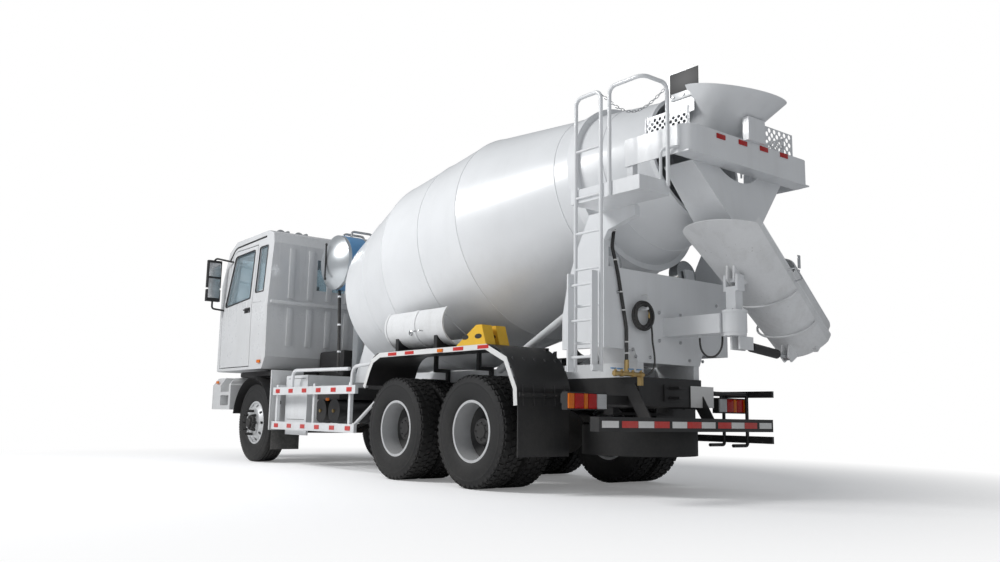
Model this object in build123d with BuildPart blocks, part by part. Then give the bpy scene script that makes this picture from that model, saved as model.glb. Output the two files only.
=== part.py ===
from build123d import *
import os
from math import sin, cos, tan, radians, degrees, atan2, hypot

os.makedirs("parts", exist_ok=True)

# Concrete mixer truck, cab over engine, three axles.  Millimetres; X forward, Y left, Z up;
# the origin is on the ground, midway along the truck's length.

# --- driving dimensions ------------------------------------------------------------------
LENGTH = 9430
REAR_AXLE_X = LENGTH / 2 - 6780     # the rearmost axle
AXLE_SPREAD = 1350                  # between the two driven axles
WHEELBASE = 3840                    # front axle to the first driven axle
AXLE_Z = 542.5
BODY_HALF_WIDTH = 1245
FRAME_TOP_Z = 1060
ROOF_Z = 3290
DRUM_TILT = 10.5                    # degrees, the drum's axis rises rearward
CHUTE_SLOPE = 40                    # degrees below level, main chute as parked


def ahead(distance):
    """X of a station this far ahead of the rearmost axle."""
    return REAR_AXLE_X + distance


MID_AXLE_X = ahead(AXLE_SPREAD)
FRONT_AXLE_X = MID_AXLE_X + WHEELBASE


def slab(x0, x1, y0, y1, z0, z1, mode=Mode.ADD):
    """A rectangular block between two corners, added to the part being built."""
    with Locations(((x0 + x1) / 2, (y0 + y1) / 2, (z0 + z1) / 2)):
        Box(abs(x1 - x0), abs(y1 - y0), abs(z1 - z0), mode=mode)


def rod(start, end, radius, mode=Mode.ADD):
    """A round bar between two points, added to the part being built."""
    line = Vector(*end) - Vector(*start)
    with BuildSketch(Plane(origin=start, z_dir=line)) as section:
        Circle(radius)
    extrude(section.sketch, amount=line.length, mode=mode)


def bent_tube(points, radius, bend):
    """A round tube along straight runs joined by equal bends."""
    with BuildLine() as route:
        FilletPolyline(*points, radius=bend)
    with BuildSketch(Plane(origin=route.line @ 0, z_dir=route.line % 0)) as section:
        Circle(radius)
    sweep(section.sketch, path=route.line)


def side_prism(points, y0, y1, mode=Mode.ADD):
    """An outline in side view (x, z), as thick as the span from y0 to y1."""
    with BuildSketch(Plane.XZ.offset(-y0)) as outline:
        with BuildLine():
            Polyline(*points, close=True)
        make_face()
    extrude(outline.sketch, amount=-(y1 - y0), mode=mode)


# --- chassis -----------------------------------------------------------------------------
RAIL_OUT_Y = 430
RAIL_HEIGHT = 270
RAIL_FLANGE = 80
RAIL_WALL = 9
FRAME_REAR_X = ahead(-1430)
FRAME_FRONT_X = ahead(6420)
RAIL_FOOT_Z = FRAME_TOP_Z - RAIL_HEIGHT
RAIL_IN_Y = RAIL_OUT_Y - RAIL_WALL
END_PLATE = 14
# crossmember stations ahead of the rearmost axle, and their lengths along the truck
CROSSMEMBERS = [(-560, 90), (675, 240), (1950, 90), (3020, 90), (3980, 90), (6280, 120)]
TOW_Z = 925
SPARE_X = ahead(-1045)
SPARE_Z = 490
TOW_PIN_R = 20.1
TOW_JAW_X = FRAME_REAR_X - END_PLATE - 95
ARCH_GUARD_R = 626
ARCH_GUARD_WALL = 8
ARCH_GUARD_Y = (955, 1225)
STAY_BAR_Z = (FRAME_TOP_Z - 19, FRAME_TOP_Z)   # clears the steered tyre below it

with BuildPart() as chassis_frame:
    with BuildSketch(Plane.YZ.offset(FRAME_REAR_X)):
        with Locations((RAIL_OUT_Y - RAIL_FLANGE / 2, FRAME_TOP_Z - RAIL_HEIGHT / 2)):
            Rectangle(RAIL_FLANGE, RAIL_HEIGHT)
        with Locations((RAIL_IN_Y - RAIL_FLANGE / 2, FRAME_TOP_Z - RAIL_HEIGHT / 2)):
            Rectangle(RAIL_FLANGE, RAIL_HEIGHT - 2 * RAIL_WALL, mode=Mode.SUBTRACT)
    extrude(amount=FRAME_FRONT_X - FRAME_REAR_X)
    mirror(about=Plane.XZ)
    for station, width in CROSSMEMBERS:
        slab(ahead(station) - width / 2, ahead(station) + width / 2, -RAIL_IN_Y, RAIL_IN_Y,
             RAIL_FOOT_Z + 70, FRAME_TOP_Z - RAIL_WALL)
    slab(FRAME_REAR_X - END_PLATE, FRAME_REAR_X, -RAIL_OUT_Y, RAIL_OUT_Y,
         RAIL_FOOT_Z + 10, FRAME_TOP_Z)
    # tow jaw: two lips with one upright pin hole, on a plate behind the end plate
    slab(FRAME_REAR_X - END_PLATE - 16, FRAME_REAR_X - END_PLATE, -115, 115,
         TOW_Z - 75, TOW_Z + 75)
    for side in (-1, 1):
        slab(TOW_JAW_X - 45, FRAME_REAR_X - END_PLATE - 16, -60, 60,
             TOW_Z + side * 45 - 12, TOW_Z + side * 45 + 12)
    with Locations((TOW_JAW_X, 0, TOW_Z)):
        Cylinder(TOW_PIN_R, 200, mode=Mode.SUBTRACT)
    # spare wheel hanger
    rod((SPARE_X, 0, SPARE_Z + 15), (SPARE_X, 0, 730), 60)
    slab(SPARE_X - 60, SPARE_X + 60, -350, 350, 720, 745)
    for side in (-1, 1):
        slab(SPARE_X - 60, SPARE_X + 60, side * 345, side * 420, 720, RAIL_FOOT_Z)
    # splash guards over the front wheels, each on two stays from its rail
    for side in (-1, 1):
        with BuildSketch(Plane.XZ.offset(-side * ARCH_GUARD_Y[0])) as arch_section:
            with Locations((FRONT_AXLE_X, AXLE_Z)):
                Circle(ARCH_GUARD_R + ARCH_GUARD_WALL)
                Circle(ARCH_GUARD_R, mode=Mode.SUBTRACT)
            with Locations((FRONT_AXLE_X, AXLE_Z - ARCH_GUARD_R)):
                Rectangle(3 * ARCH_GUARD_R, 2 * ARCH_GUARD_R + 240, mode=Mode.SUBTRACT)
        extrude(arch_section.sketch, amount=-side * (ARCH_GUARD_Y[1] - ARCH_GUARD_Y[0]))
        for end in (-1, 1):
            slab(FRONT_AXLE_X + end * 370, FRONT_AXLE_X + end * 410, side * RAIL_OUT_Y,
                 side * (ARCH_GUARD_Y[0] + 100), *STAY_BAR_Z)
chassis_frame.part.label = "chassis_frame"
export_step(chassis_frame.part, "parts/chassis_frame.step")

SILL_TOP_Z = FRAME_TOP_Z + 130
SILL_REAR_X = FRAME_REAR_X + 10
SILL_FRONT_X = ahead(3640)

# --- wheels ------------------------------------------------------------------------------
TYRE_R = AXLE_Z
TYRE_HALF = 150
RIM_R = 286
RIM_WALL = 12
RIM_HALF = 105
FLANGE_R = 298
DRUM_BRAKE_R = 205
FRONT_TRACK = 2050
REAR_TRACK = 1860
DUAL_SPACING = 340
FRONT_DISC = 150                    # from the tyre's middle out to the disc's outer face
SPINDLE_R = 45
FIT = 0.05                          # radial running fit


def tyre(middle_y, x):
    """A tyre's section turned about its axle."""
    with BuildSketch(Plane.YZ.offset(x)) as section:
        with BuildLine():
            Polyline((middle_y - RIM_HALF + 1, AXLE_Z + RIM_R + FIT),
                     (middle_y + RIM_HALF - 1, AXLE_Z + RIM_R + FIT),
                     (middle_y + RIM_HALF - 1, AXLE_Z + FLANGE_R + 6))
            ThreePointArc((middle_y + RIM_HALF - 1, AXLE_Z + FLANGE_R + 6),
                          (middle_y + TYRE_HALF, AXLE_Z + 405),
                          (middle_y + 138, AXLE_Z + 505))
            ThreePointArc((middle_y + 138, AXLE_Z + 505),
                          (middle_y + 131, AXLE_Z + 528),
                          (middle_y + 108, AXLE_Z + TYRE_R - 4))
            ThreePointArc((middle_y + 108, AXLE_Z + TYRE_R - 4),
                          (middle_y, AXLE_Z + TYRE_R),
                          (middle_y - 108, AXLE_Z + TYRE_R - 4))
            ThreePointArc((middle_y - 108, AXLE_Z + TYRE_R - 4),
                          (middle_y - 131, AXLE_Z + 528),
                          (middle_y - 138, AXLE_Z + 505))
            ThreePointArc((middle_y - 138, AXLE_Z + 505),
                          (middle_y - TYRE_HALF, AXLE_Z + 405),
                          (middle_y - RIM_HALF + 1, AXLE_Z + FLANGE_R + 6))
            Line((middle_y - RIM_HALF + 1, AXLE_Z + FLANGE_R + 6),
                 (middle_y - RIM_HALF + 1, AXLE_Z + RIM_R + FIT))
        make_face()
    revolve(section.sketch, axis=Axis((x, 0, AXLE_Z), (0, 1, 0)))


def band(y0, y1, r0, r1, mode=Mode.ADD):
    """A rectangle of a turned section: from y0 to y1 across, r0 to r1 from the axle."""
    with Locations(((y0 + y1) / 2, AXLE_Z + (r0 + r1) / 2)):
        Rectangle(abs(y1 - y0), r1 - r0, mode=mode)


def rim_band(middle_y):
    """Section of a rim's barrel with its two flanges."""
    band(middle_y - RIM_HALF - 12, middle_y + RIM_HALF + 12, RIM_R - RIM_WALL, RIM_R)
    for end in (-1, 1):
        band(middle_y + end * RIM_HALF, middle_y + end * (RIM_HALF + 12), RIM_R - RIM_WALL, FLANGE_R)


def disc_band(y_barrel, y_face, side):
    """Section of the dished disc between a rim's barrel and its bolting face."""
    with BuildLine() as edge:
        Polyline((y_barrel, AXLE_Z + RIM_R - RIM_WALL + 2),
                 (y_barrel - side * 14, AXLE_Z + RIM_R - RIM_WALL + 2),
                 (y_face - side * 14, AXLE_Z + 205), (y_face - side * 14, AXLE_Z + 100),
                 (y_face, AXLE_Z + 100), (y_face, AXLE_Z + 212), close=True)
    make_face(edge.line.edges())


def hand_holes(x, y0, y1, count, circle_r, hole_r):
    """Round hand holes through the disc."""
    with BuildSketch(Plane.XZ.offset(-y0)) as holes:
        with Locations((x, AXLE_Z)):
            with PolarLocations(circle_r, count):
                Circle(hole_r)
    extrude(holes.sketch, amount=-(y1 - y0), mode=Mode.SUBTRACT)


# side name and its sign across the truck
SIDES = [("left", 1), ("right", -1)]
FRONT_WHEEL_Y = FRONT_TRACK / 2
KINGPIN_Y = 812

for side_name, side in SIDES:
    with BuildPart() as front_tyre:
        tyre(side * FRONT_WHEEL_Y, FRONT_AXLE_X)
    front_tyre.part.label = f"front_tyre_{side_name}"
    export_step(front_tyre.part, f"parts/front_tyre_{side_name}.step")

    face_y = side * (FRONT_WHEEL_Y + FRONT_DISC)
    with BuildPart() as front_rim:
        with BuildSketch(Plane.YZ.offset(FRONT_AXLE_X)):
            rim_band(side * FRONT_WHEEL_Y)
            disc_band(side * (FRONT_WHEEL_Y + RIM_HALF - 4), face_y, side)
            band(face_y - side * 190, face_y + side * 38, 0, 101)
            band(face_y - side * 190, face_y - side * 14, 0, 140)
            band(face_y - side * 270, face_y - side * 190, SPINDLE_R + FIT, DRUM_BRAKE_R)
            band(face_y - side * 270, face_y - side * 120, 0, SPINDLE_R + FIT, Mode.SUBTRACT)
        revolve(axis=Axis((FRONT_AXLE_X, 0, AXLE_Z), (0, 1, 0)))
        hand_holes(FRONT_AXLE_X, side * (FRONT_WHEEL_Y + 60), side * (FRONT_WHEEL_Y + 200),
                   10, 240, 21)
    front_rim.part.label = f"front_rim_{side_name}"
    export_step(front_rim.part, f"parts/front_rim_{side_name}.step")

REAR_WHEEL_Y = REAR_TRACK / 2
for axle_name, axle_x in [("mid", MID_AXLE_X), ("rear", REAR_AXLE_X)]:
    for side_name, side in SIDES:
        outer_y = side * (REAR_WHEEL_Y + DUAL_SPACING / 2)
        inner_y = side * (REAR_WHEEL_Y - DUAL_SPACING / 2)
        with BuildPart() as twin_tyres:
            tyre(outer_y, axle_x)
            tyre(inner_y, axle_x)
        twin_tyres.part.label = f"{axle_name}_tyres_{side_name}"
        export_step(twin_tyres.part, f"parts/{axle_name}_tyres_{side_name}.step")

        disc_y = side * REAR_WHEEL_Y
        with BuildPart() as twin_rims:
            with BuildSketch(Plane.YZ.offset(axle_x)):
                rim_band(outer_y)
                rim_band(inner_y)
                disc_band(outer_y - side * (RIM_HALF - 4), disc_y, -side)
                disc_band(inner_y + side * (RIM_HALF - 4), disc_y, side)
                band(disc_y - side * 320, disc_y + side * 14, 0, 140)
                band(disc_y - side * 320, disc_y + side * 150, 0, 122)
                band(disc_y - side * 320, disc_y - side * 150, 0, DRUM_BRAKE_R)
                band(disc_y - side * 320, disc_y - side * 140, 0, SPINDLE_R + FIT, Mode.SUBTRACT)
            revolve(axis=Axis((axle_x, 0, AXLE_Z), (0, 1, 0)))
            hand_holes(axle_x, side * (REAR_WHEEL_Y - 60), side * (REAR_WHEEL_Y + 60), 10, 240, 21)
        twin_rims.part.label = f"{axle_name}_rims_{side_name}"
        export_step(twin_rims.part, f"parts/{axle_name}_rims_{side_name}.step")

# --- axles, knuckles and springs ---------------------------------------------------------
KINGPIN_R = 24
FRONT_SPRING_Y = 412
FRONT_SPRING_WIDTH = 80
BEAM_Z = 470                        # top of the front beam between the springs

with BuildPart() as front_axle:
    # I beam, lower in the middle, turned up to the kingpin bosses
    with BuildSketch(Plane.YZ.offset(FRONT_AXLE_X - 45)):
        with BuildLine():
            Polyline((0, 400), (560, 400), (700, 490), (KINGPIN_Y - 60, 490),
                     (KINGPIN_Y - 60, 590), (690, 590), (540, BEAM_Z), (0, BEAM_Z), close=True)
        make_face()
        mirror(about=Plane.YZ)
    extrude(amount=90)
    for side in (-1, 1):
        with Locations((FRONT_AXLE_X, side * KINGPIN_Y, AXLE_Z - 2.5)):
            Cylinder(62, 100)
        with Locations((FRONT_AXLE_X, side * KINGPIN_Y, AXLE_Z)):
            Cylinder(KINGPIN_R + FIT, 200, mode=Mode.SUBTRACT)
    # leaf springs clamped on the beam, hung from the frame rails
    for side in (-1, 1):
        y0 = side * FRONT_SPRING_Y - FRONT_SPRING_WIDTH / 2
        with BuildSketch(Plane.XZ.offset(-y0)):
            with BuildLine():
                ThreePointArc((FRONT_AXLE_X - 800, 650), (FRONT_AXLE_X, BEAM_Z + 60),
                              (FRONT_AXLE_X + 800, 650))
                Line((FRONT_AXLE_X + 800, 650), (FRONT_AXLE_X + 800, 635))
                Polyline((FRONT_AXLE_X + 800, 635), (FRONT_AXLE_X + 120, BEAM_Z),
                         (FRONT_AXLE_X - 120, BEAM_Z), (FRONT_AXLE_X - 800, 635),
                         (FRONT_AXLE_X - 800, 650))
            make_face()
        extrude(amount=-FRONT_SPRING_WIDTH)
        for end in (-1, 1):
            slab(FRONT_AXLE_X + end * 760, FRONT_AXLE_X + end * 850,
                 side * FRONT_SPRING_Y - 30, side * FRONT_SPRING_Y + 18, 600, RAIL_FOOT_Z)
front_axle.part.label = "front_axle"
export_step(front_axle.part, "parts/front_axle.step")

for side_name, side in SIDES:
    with BuildPart() as knuckle:
        # fork with the kingpin, then the spindle out into the hub
        for end in (-1, 1):
            with Locations((FRONT_AXLE_X, side * KINGPIN_Y, AXLE_Z - 2.5 + end * 81)):
                Cylinder(55, 50)
        slab(FRONT_AXLE_X - 55, FRONT_AXLE_X + 55, side * (KINGPIN_Y + 68), side * (KINGPIN_Y + 90),
             AXLE_Z - 108, AXLE_Z + 103)
        for end in (-1, 1):
            slab(FRONT_AXLE_X - 55, FRONT_AXLE_X + 55, side * KINGPIN_Y, side * (KINGPIN_Y + 80),
                 AXLE_Z - 2.5 + end * 56, AXLE_Z - 2.5 + end * 106)
        with Locations((FRONT_AXLE_X, side * KINGPIN_Y, AXLE_Z)):
            Cylinder(KINGPIN_R, 240)
        rod((FRONT_AXLE_X, side * (KINGPIN_Y + 75), AXLE_Z),
            (FRONT_AXLE_X, side * (FRONT_WHEEL_Y + FRONT_DISC - 125), AXLE_Z), SPINDLE_R)
        slab(FRONT_AXLE_X - 200, FRONT_AXLE_X - 30, side * (KINGPIN_Y - 60), side * (KINGPIN_Y - 20),
             AXLE_Z - 106, AXLE_Z - 66)
    knuckle.part.label = f"knuckle_{side_name}"
    export_step(knuckle.part, f"parts/knuckle_{side_name}.step")

HOUSING_R = 75
BOGIE_X = (MID_AXLE_X + REAR_AXLE_X) / 2
REAR_SPRING_Y = 505
REAR_SPRING_WIDTH = 90
SPRING_PAD_Z = AXLE_Z + 95
with BuildPart() as rear_axles:
    for axle_x in (MID_AXLE_X, REAR_AXLE_X):
        rod((axle_x, -600, AXLE_Z), (axle_x, 600, AXLE_Z), HOUSING_R)
        rod((axle_x, -(REAR_WHEEL_Y - 150), AXLE_Z), (axle_x, REAR_WHEEL_Y - 150, AXLE_Z), SPINDLE_R)
        with Locations((axle_x, 0, AXLE_Z)):
            Sphere(225)
        rod((axle_x, 0, AXLE_Z), (axle_x + 270, 0, AXLE_Z), 90)
        for side in (-1, 1):
            slab(axle_x - 60, axle_x + 60, side * REAR_SPRING_Y - 45, side * REAR_SPRING_Y + 45,
                 AXLE_Z, SPRING_PAD_Z)
    rod((REAR_AXLE_X, 0, AXLE_Z), (MID_AXLE_X, 0, AXLE_Z), 50)
    # inverted leaf springs from axle to axle, pivoted on stands below the frame
    for side in (-1, 1):
        y0 = side * REAR_SPRING_Y - REAR_SPRING_WIDTH / 2
        with BuildSketch(Plane.XZ.offset(-y0)):
            with BuildLine():
                Polyline((BOGIE_X - 735, SPRING_PAD_Z), (BOGIE_X - 615, SPRING_PAD_Z),
                         (BOGIE_X - 180, SPRING_PAD_Z + 20), (BOGIE_X + 180, SPRING_PAD_Z + 20),
                         (BOGIE_X + 615, SPRING_PAD_Z), (BOGIE_X + 735, SPRING_PAD_Z),
                         (BOGIE_X + 735, SPRING_PAD_Z + 18))
                ThreePointArc((BOGIE_X + 735, SPRING_PAD_Z + 18), (BOGIE_X, SPRING_PAD_Z + 170),
                              (BOGIE_X - 735, SPRING_PAD_Z + 18))
                Line((BOGIE_X - 735, SPRING_PAD_Z + 18), (BOGIE_X - 735, SPRING_PAD_Z))
            make_face()
        extrude(amount=-REAR_SPRING_WIDTH)
        slab(BOGIE_X - 90, BOGIE_X + 90, side * RAIL_OUT_Y, side * (REAR_SPRING_Y - 40),
             SPRING_PAD_Z - 120, FRAME_TOP_Z - 60)
        slab(BOGIE_X - 75, BOGIE_X + 75, side * RAIL_OUT_Y, side * (REAR_SPRING_Y + 50),
             SPRING_PAD_Z - 110, SPRING_PAD_Z + 25)
rear_axles.part.label = "rear_axles"
export_step(rear_axles.part, "parts/rear_axles.step")

# --- engine, gearbox and main shaft ------------------------------------------------------
ENGINE_REAR_X = ahead(4720)
GEARBOX_REAR_X = ahead(4080)
SHAFT_Z = 640
with BuildPart() as driveline:
    slab(ENGINE_REAR_X, ahead(5880), -330, 330, 640, 1240)
    slab(GEARBOX_REAR_X + 60, ENGINE_REAR_X, -210, 210, 560, 830)
    rod((GEARBOX_REAR_X, 0, 700), (GEARBOX_REAR_X + 60, 0, 700), 90)
    rod((MID_AXLE_X + 270, 0, AXLE_Z), (MID_AXLE_X + 300, 0, AXLE_Z), 80)
    rod((MID_AXLE_X + 290, 0, AXLE_Z), (GEARBOX_REAR_X + 10, 0, 700), 52)
driveline.part.label = "driveline"
export_step(driveline.part, "parts/driveline.step")

# --- front bumper and lamps --------------------------------------------------------------
BUMPER_FRONT_X = ahead(6780)
BUMPER_REAR_X = ahead(5900)
BUMPER_FOOT_Z = 720
BUMPER_WAIST_Z = 1080
BUMPER_TOP_Z = 1190
BUMPER_WALL = 60
CAB_PIVOT_X = ahead(6500)
CAB_PIVOT_Z = 900
CAB_PIN_R = 25
TOW_SOCKET_DEPTH = 180
TOW_SOCKET_Y = -300
TOW_SOCKET_Z = 920
TOW_SOCKET_R = 20.1
with BuildPart() as front_bumper:
    with BuildSketch(Plane.XY.offset(BUMPER_FOOT_Z)) as bumper_outline:
        with Locations(((BUMPER_FRONT_X + BUMPER_REAR_X) / 2, 0)):
            Rectangle(BUMPER_FRONT_X - BUMPER_REAR_X, 2 * BODY_HALF_WIDTH)
        fillet(bumper_outline.vertices().group_by(Axis.X)[-1], 230)
    extrude(amount=BUMPER_WAIST_Z - BUMPER_FOOT_Z)
    extrude(faces().sort_by(Axis.Z)[-1], amount=BUMPER_TOP_Z - BUMPER_WAIST_Z, taper=35)
    slab(BUMPER_REAR_X - 200, BUMPER_FRONT_X - BUMPER_WALL, -930, 930,
         BUMPER_FOOT_Z - 10, BUMPER_TOP_Z + 10, mode=Mode.SUBTRACT)
    for side in (-1, 1):
        # the steps let into each corner
        for foot, top in ((BUMPER_FOOT_Z + 60, BUMPER_FOOT_Z + 210), (BUMPER_FOOT_Z + 260, BUMPER_TOP_Z)):
            slab(BUMPER_REAR_X + 70, BUMPER_REAR_X + 380, side * 1060, side * 1300, foot, top,
                 mode=Mode.SUBTRACT)
        slab(BUMPER_REAR_X - 10, BUMPER_REAR_X + 40, side * 900, side * 1300, 1100, 1250,
             mode=Mode.SUBTRACT)
    # head lamp pockets
    for side in (-1, 1):
        slab(BUMPER_FRONT_X - 35, BUMPER_FRONT_X + 10, side * 640, side * 960, 820, 1000,
             mode=Mode.SUBTRACT)
    # cross beam behind the skin, on the frame's front end
    slab(FRAME_FRONT_X, BUMPER_FRONT_X - BUMPER_WALL, -RAIL_OUT_Y, RAIL_OUT_Y, 800, 1050)
    # pins that the cab tilts on
    for side in (-1, 1):
        rod((CAB_PIVOT_X, side * (RAIL_OUT_Y - 5), CAB_PIVOT_Z),
            (CAB_PIVOT_X, side * (RAIL_OUT_Y + 70), CAB_PIVOT_Z), CAB_PIN_R)
    # tow eye's socket, through the skin into the beam
    rod((BUMPER_FRONT_X - TOW_SOCKET_DEPTH, TOW_SOCKET_Y, TOW_SOCKET_Z),
        (BUMPER_FRONT_X + 20, TOW_SOCKET_Y, TOW_SOCKET_Z), TOW_SOCKET_R, mode=Mode.SUBTRACT)
front_bumper.part.label = "front_bumper"
export_step(front_bumper.part, "parts/front_bumper.step")

TAIL_LAMP_X = ahead(-1360)
TAIL_LAMP_Z = 830
with BuildPart() as lamps:
    for side in (-1, 1):
        slab(BUMPER_FRONT_X - 35, BUMPER_FRONT_X - 6, side * 640, side * 960, 820, 1000)
        slab(TAIL_LAMP_X - 10, TAIL_LAMP_X + 60, side * 780, side * 1240,
             TAIL_LAMP_Z - 75, TAIL_LAMP_Z + 75)
        # the lamp's bracket from the frame rail
        slab(TAIL_LAMP_X + 60, TAIL_LAMP_X + 75, side * RAIL_OUT_Y, side * 1240,
             TAIL_LAMP_Z - 20, TAIL_LAMP_Z + 60)
lamps.part.label = "lamps"
export_step(lamps.part, "parts/lamps.step")

# --- side equipment ----------------------------------------------------------------------
CABINET_X = (ahead(3740), ahead(4370))
with BuildPart() as side_cabinet:
    slab(CABINET_X[0], CABINET_X[1], RAIL_OUT_Y, 1080, 560, 1180)
    slab(CABINET_X[0] + 10, CABINET_X[1] - 10, 1040, 1070, 400, 560)
side_cabinet.part.label = "side_cabinet"
export_step(side_cabinet.part, "parts/side_cabinet.step")

TANK_R = 150
with BuildPart() as air_tanks:
    for station in (3480, 3130):
        rod((ahead(station), RAIL_OUT_Y + 60, 720), (ahead(station), 1010, 720), TANK_R)
    slab(ahead(3000), ahead(3610), RAIL_OUT_Y, RAIL_OUT_Y + 100, 600, 1000)
    slab(ahead(3000), ahead(3610), RAIL_OUT_Y + 90, 1010, 862, 1000)
air_tanks.part.label = "air_tanks"
export_step(air_tanks.part, "parts/air_tanks.step")

with BuildPart() as fuel_tank:
    slab(ahead(2900), ahead(4300), -1080, -470, 450, 1020)
    fillet(fuel_tank.edges().filter_by(Axis.X), 110)
    for station in (3150, 4050):
        slab(ahead(station) - 30, ahead(station) + 30, -500, -RAIL_OUT_Y, 600, 1000)
fuel_tank.part.label = "fuel_tank"
export_step(fuel_tank.part, "parts/fuel_tank.step")

GUARD_Y = 1215
GUARD_RAIL_Z = (970, 520)
with BuildPart() as side_guards:
    for side in (-1, 1):
        for z in GUARD_RAIL_Z:
            slab(ahead(2220), ahead(4440), side * (GUARD_Y - 20), side * (GUARD_Y + 20), z - 50, z + 50)
        for station in (2420, 3330, 4400):
            slab(ahead(station) - 25, ahead(station) + 25, side * (GUARD_Y - 60),
                 side * (GUARD_Y - 20), 470, 1055)
            slab(ahead(station) - 25, ahead(station) + 25, side * RAIL_OUT_Y,
                 side * (GUARD_Y - 20), 1025, 1055)
side_guards.part.label = "side_guards"
export_step(side_guards.part, "parts/side_guards.step")

# --- rear mudguards, their racks and flaps -----------------------------------------------
GUARD_TOP_Z = 1365
STOWED_X = (ahead(520), ahead(1640))
STOWED_Y = 985
STOWED_Z = 1640
STOWED_R = 230
STOWED_LEAN = 42                    # degrees, the outer edge stands higher
GUARD_WALL = 12
GUARD_IN_Y = 590
GUARD_OUT_Y = 1245
STAY_Z = 1170


def mudguard_outline(shrink):
    """Side view of the guard over both driven axles, drawn in by the given amount."""
    with BuildSketch(Plane.XZ.offset(-GUARD_IN_Y)) as outline:
        with BuildLine():
            Line((ahead(2020) - shrink, 1000 - shrink / 2), (ahead(1930) - shrink, 1180))
            ThreePointArc((ahead(1930) - shrink, 1180), (ahead(1850) - shrink * 0.8, 1300 - shrink * 0.8),
                          (ahead(1680), GUARD_TOP_Z - shrink))
            Line((ahead(1680), GUARD_TOP_Z - shrink), (ahead(-250), GUARD_TOP_Z - shrink))
            ThreePointArc((ahead(-250), GUARD_TOP_Z - shrink),
                          (ahead(-560) + shrink * 0.8, 1230 - shrink * 0.8),
                          (ahead(-710) + shrink, 950))
            Line((ahead(-710) + shrink, 950), (ahead(-710) + shrink, 790 - shrink / 2))
            Polyline((ahead(-710) + shrink, 790 - shrink / 2),
                     (ahead(2020) - shrink, 1000 - shrink / 2))
        make_face()
    return outline.sketch


with BuildPart() as rear_mudguards:
    extrude(mudguard_outline(0), amount=-(GUARD_OUT_Y - GUARD_IN_Y))
    extrude(mudguard_outline(GUARD_WALL), amount=-(GUARD_OUT_Y - GUARD_IN_Y), mode=Mode.SUBTRACT)
    slab(ahead(-680), ahead(2100), 0, 1300, 700, 1010, mode=Mode.SUBTRACT)
    # stays from the frame rail
    for station in (-400, 675, 1480):
        slab(ahead(station) - 20, ahead(station) + 20, RAIL_OUT_Y, GUARD_IN_Y + 50,
             STAY_Z, STAY_Z + 40)
        slab(ahead(station) - 20, ahead(station) + 20, RAIL_OUT_Y, RAIL_OUT_Y + 40,
             FRAME_TOP_Z - 60, STAY_Z)
        slab(ahead(station) - 20, ahead(station) + 20, GUARD_IN_Y + 10, GUARD_IN_Y + 50,
             STAY_Z, GUARD_TOP_Z - GUARD_WALL)
    # cradle for the stowed extension trough
    for station in (700, 1440):
        slab(ahead(station) - 30, ahead(station) + 30, STOWED_Y - 170, STOWED_Y + 190,
             GUARD_TOP_Z, STOWED_Z - 100)
    rod((STOWED_X[0] - 50, STOWED_Y, STOWED_Z), (STOWED_X[1] + 50, STOWED_Y, STOWED_Z), STOWED_R,
        mode=Mode.SUBTRACT)
    # rubber flap hung behind
    slab(ahead(-722), ahead(-710), GUARD_IN_Y + 20, GUARD_OUT_Y - 10, 330, 900)
    mirror(about=Plane.XZ)
rear_mudguards.part.label = "rear_mudguards"
export_step(rear_mudguards.part, "parts/rear_mudguards.step")

# --- rear underrun bar and spare wheel ---------------------------------------------------
UNDERRUN_X = ahead(-1700)
with BuildPart() as underrun_bar:
    slab(UNDERRUN_X, UNDERRUN_X + 100, -1200, 1200, 580, 700)
    for side in (-1, 1):
        with BuildSketch(Plane.XZ.offset(-side * RAIL_OUT_Y)):
            with BuildLine():
                Polyline((FRAME_REAR_X + 30, 1000), (FRAME_REAR_X + 190, 1000),
                         (UNDERRUN_X + 200, 600), (UNDERRUN_X + 60, 600), close=True)
            make_face()
        extrude(amount=-side * 14)
    # guard rails at the right rear corner, on two looped tubes
    slab(ahead(-1690), ahead(-1060), -1237, -1207, 914, 978)
    slab(ahead(-1680), ahead(-770), -1237, -1207, 465, 535)
    for station in (-1120, -1402):
        bent_tube([(ahead(station), -RAIL_OUT_Y, 946), (ahead(station), -1195, 946),
                   (ahead(station), -1195, 440), (ahead(station), -960, 440)], 17, 30)
underrun_bar.part.label = "underrun_bar"
export_step(underrun_bar.part, "parts/underrun_bar.step")

with BuildPart() as spare_wheel:
    with Locations((SPARE_X, 0, SPARE_Z)):
        Cylinder(TYRE_R, 270)
        Cylinder(270, 270, mode=Mode.SUBTRACT)
        Cylinder(275, 30)
spare_wheel.part.label = "spare_wheel"
export_step(spare_wheel.part, "parts/spare_wheel.step")

# --- drum --------------------------------------------------------------------------------
# the drum's own frame: local x runs forward and down along its axis, local y is its radius
DRUM_ORIGIN = (REAR_AXLE_X, 0, 2750)
SLOPE_COS = cos(radians(DRUM_TILT))
SLOPE_SIN = sin(radians(DRUM_TILT))
DRUM_AXIS = Vector(SLOPE_COS, 0, -SLOPE_SIN)
DRUM_PLANE = Plane(origin=DRUM_ORIGIN, x_dir=DRUM_AXIS, z_dir=(0, -1, 0))
DRUM_WALL = 12
# station along the axis and outer radius: front head, front cone, belly, rear cone, mouth
DRUM_SECTIONS = [(3245, 330), (3215, 610), (3095, 965), (1830, 1206), (417, 1170), (-785, 865),
                 (-1800, 599)]
TRACK_R = 850
MOUTH_ALONG, MOUTH_R = DRUM_SECTIONS[-1]
MOUTH_RIM = 22                      # height of the stiffening ring, clear of the swung chute
TRACK_FRONT = -960
TRACK_REAR = -1060


def on_drum(along, across=0, down=0):
    """A point given along the drum's axis, to the left of it and square below it."""
    base = Vector(*DRUM_ORIGIN) + DRUM_AXIS * along
    return (base.X - down * SLOPE_SIN, across, base.Z - down * SLOPE_COS)


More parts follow.
